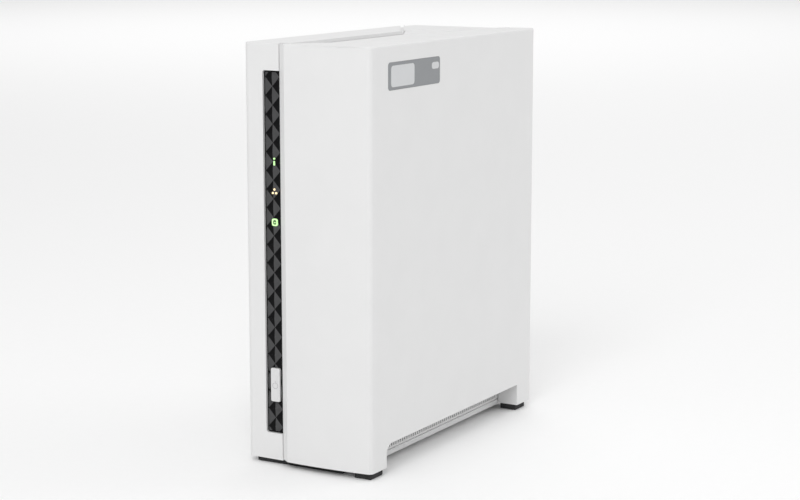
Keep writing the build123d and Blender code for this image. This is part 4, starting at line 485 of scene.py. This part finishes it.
# ---------------------------------------------------------------- drive label
def make_drive_label():
    """A paper label with plain blocks on the drive's lid."""
    low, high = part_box("drive_lid")
    mesh = bmesh.new()
    centre = (high.x, (low.y + high.y) / 2, (low.z + high.z) / 2 + 4.0 * MM)
    add_slab(mesh, centre, PAPER_WIDE, PAPER_TALL, 2.0 * MM, PAPER_THICK)
    top = centre[0] + PAPER_THICK
    for row, wide in enumerate(LINE_WIDTHS):
        z = centre[2] + 26.0 * MM - LINE_PITCH * row
        y = centre[1] - 30.0 * MM + wide / 2
        add_slab(mesh, (top, y, z), wide, LINE_TALL, 0.5 * MM, INK_THICK, 1)
    block = (top, centre[1], centre[2] - 22.0 * MM)
    add_slab(mesh, block, 60.0 * MM, 20.0 * MM, 1.5 * MM, INK_THICK, 2)
    finish_piece(mesh, "drive_label", [PAPER, PRINT_DARK, FINISHES["label_grey"]], "chassis")


# ---------------------------------------------------------------- port contacts
def make_port_contacts():
    """Gold contacts: eight springs in the network socket, four blades on each tongue."""
    mesh = bmesh.new()
    low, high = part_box("lan_jack")
    middle = (low.z + high.z) / 2
    x = low.x + 2.4 * MM
    for i in range(SPRING_COUNT):
        z = middle + (i - (SPRING_COUNT - 1) / 2) * SPRING_PITCH
        spring_low = (x, high.y - 14.0 * MM, z - 0.18 * MM)
        spring_high = (x + 0.35 * MM, high.y - 3.0 * MM, z + 0.18 * MM)
        add_box(mesh, spring_low, spring_high, 0.05 * MM)
    for name in ("lower_usb_port", "upper_usb_port"):
        low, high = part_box(name)
        middle = (low.z + high.z) / 2
        x = low.x + 3.6 * MM
        for offset in BLADE_OFFSETS:
            z = middle + offset
            blade_low = (x, high.y - 9.0 * MM, z - 0.5 * MM)
            blade_high = (x + 0.08 * MM, high.y - 2.0 * MM, z + 0.5 * MM)
            add_box(mesh, blade_low, blade_high, 0.03 * MM)
    finish_piece(mesh, "port_contacts", [GOLD], "chassis")


def make_port_liners():
    """Black plastic inside the ports: the network socket's floor and back, and the two tongues."""
    mesh = bmesh.new()
    low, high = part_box("lan_jack")
    middle = (low.z + high.z) / 2
    half = 5.8 * MM
    front = high.y - 0.4 * MM
    back = high.y - 15.6 * MM
    floor = low.x + 1.75 * MM
    add_box(mesh, (floor, back, middle - half), (floor + 0.5 * MM, front, middle + half), 0.08 * MM)
    add_box(mesh, (floor, back, middle - half), (floor + 7.2 * MM, back + 0.4 * MM, middle + half), 0.08 * MM)
    for name in ("lower_usb_port", "upper_usb_port"):
        low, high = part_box(name)
        middle = (low.z + high.z) / 2
        tongue = 5.56 * MM
        near = high.y - 1.1 * MM
        far = high.y - 10.6 * MM
        tongue_low = (low.x + 1.62 * MM, far, middle - tongue)
        add_box(mesh, tongue_low, (low.x + 3.66 * MM, near, middle + tongue), 0.2 * MM)
    finish_piece(mesh, "port_liners", [FINISHES["connector_black"]], "chassis")


def make_board_joints():
    """Rows of tin joints beside the ports and connectors."""
    low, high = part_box("mainboard")
    face_x = high.x
    mesh = bmesh.new()
    for name in ("lan_jack", "lower_usb_port", "upper_usb_port", "dc_jack", "riser_socket", "fan_connector"):
        part_low, part_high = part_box(name)
        count = int((part_high.z - part_low.z) / JOINT_PITCH) - 1
        start = (part_low.z + part_high.z - (count - 1) * JOINT_PITCH) / 2
        edge = max(part_low.y - 1.3 * MM, low.y + 0.5 * MM)
        for i in range(count):
            z = start + i * JOINT_PITCH
            joint_low = (face_x, edge, z - 0.32 * MM)
            add_box(mesh, joint_low, (face_x + 0.25 * MM, edge + 1.1 * MM, z + 0.32 * MM), 0.1 * MM)
    finish_piece(mesh, "board_joints", [TIN], "chassis")


# ---------------------------------------------------------------- camera, floor and lights
def aim(obj, target):
    """Turns an object to look at a point."""
    direction = Vector(target) - obj.location
    obj.rotation_euler = direction.to_track_quat("-Z", "Y").to_euler()


def make_camera():
    """The camera stands to the right of the front and looks slightly down."""
    data = bpy.data.cameras.new("camera")
    data.sensor_width = 36.0
    data.lens = CAMERA_LENS
    camera = bpy.data.objects.new("camera", data)
    camera.location = CAMERA_PLACE
    camera.rotation_euler = (math.pi / 2 - CAMERA_DOWN, 0.0, CAMERA_AZIMUTH)
    scene.collection.objects.link(camera)
    scene.camera = camera


def make_floor():
    """A plain pale paper floor, just under the feet."""
    material, tree, shader, vector = start_material("floor_paper", (0.95, 0.95, 0.95), 0.75)
    fibres = noise(tree, vector, 220.0, 4.0)
    tone = mix_colors(tree, fibres, (0.94, 0.94, 0.94), (0.96, 0.96, 0.96))
    tree.links.new(tone, shader.inputs["Base Color"])
    bump(tree, shader, fibres, 0.1, 0.0001)
    signs = ((-1, -1), (1, -1), (1, 1), (-1, 1))
    mesh = bmesh.new()
    mesh.faces.new([mesh.verts.new((i * FLOOR_HALF, j * FLOOR_HALF, -FLOOR_DROP)) for i, j in signs])
    data = bpy.data.meshes.new("floor")
    mesh.to_mesh(data)
    mesh.free()
    data.materials.append(material)
    floor = bpy.data.objects.new("floor", data)
    scene.collection.objects.link(floor)


def make_light(name, location, size, power, target=(0.0, 0.0, 0.09)):
    """A square or oblong soft light, aimed at the middle of the object unless told otherwise."""
    data = bpy.data.lights.new(name, "AREA")
    data.shape = "RECTANGLE"
    data.size = size[0]
    data.size_y = size[1]
    data.energy = power
    light = bpy.data.objects.new(name, data)
    light.location = location
    scene.collection.objects.link(light)
    aim(light, target)


def make_world():
    """Even white light from all round."""
    world = bpy.data.worlds.new("studio")
    world.use_nodes = True
    background = world.node_tree.nodes["Background"]
    background.inputs["Color"].default_value = (1.0, 1.0, 1.0, 1.0)
    background.inputs["Strength"].default_value = WORLD_STRENGTH
    scene.world = world


make_label_print()
make_button_mark()
make_disk_light_core()
make_board_passives()
make_drive_label()
make_port_contacts()
make_port_liners()
make_board_joints()
make_camera()
make_floor()
make_light("key", (0.5, -1.5, 1.4), (1.2, 1.2), 16.2)
make_light("rim", (1.2, 1.3, 0.9), (1.2, 1.2), 5.4)
make_light("top", (0.0, 0.1, 1.7), (1.2, 1.2), 2.2)
make_light("backdrop", (-1.6, 2.8, 1.7), (2.8, 2.8), 22.0, (-1.6, 2.9, 0.0))
make_world()
scene.view_settings.view_transform = "Standard"
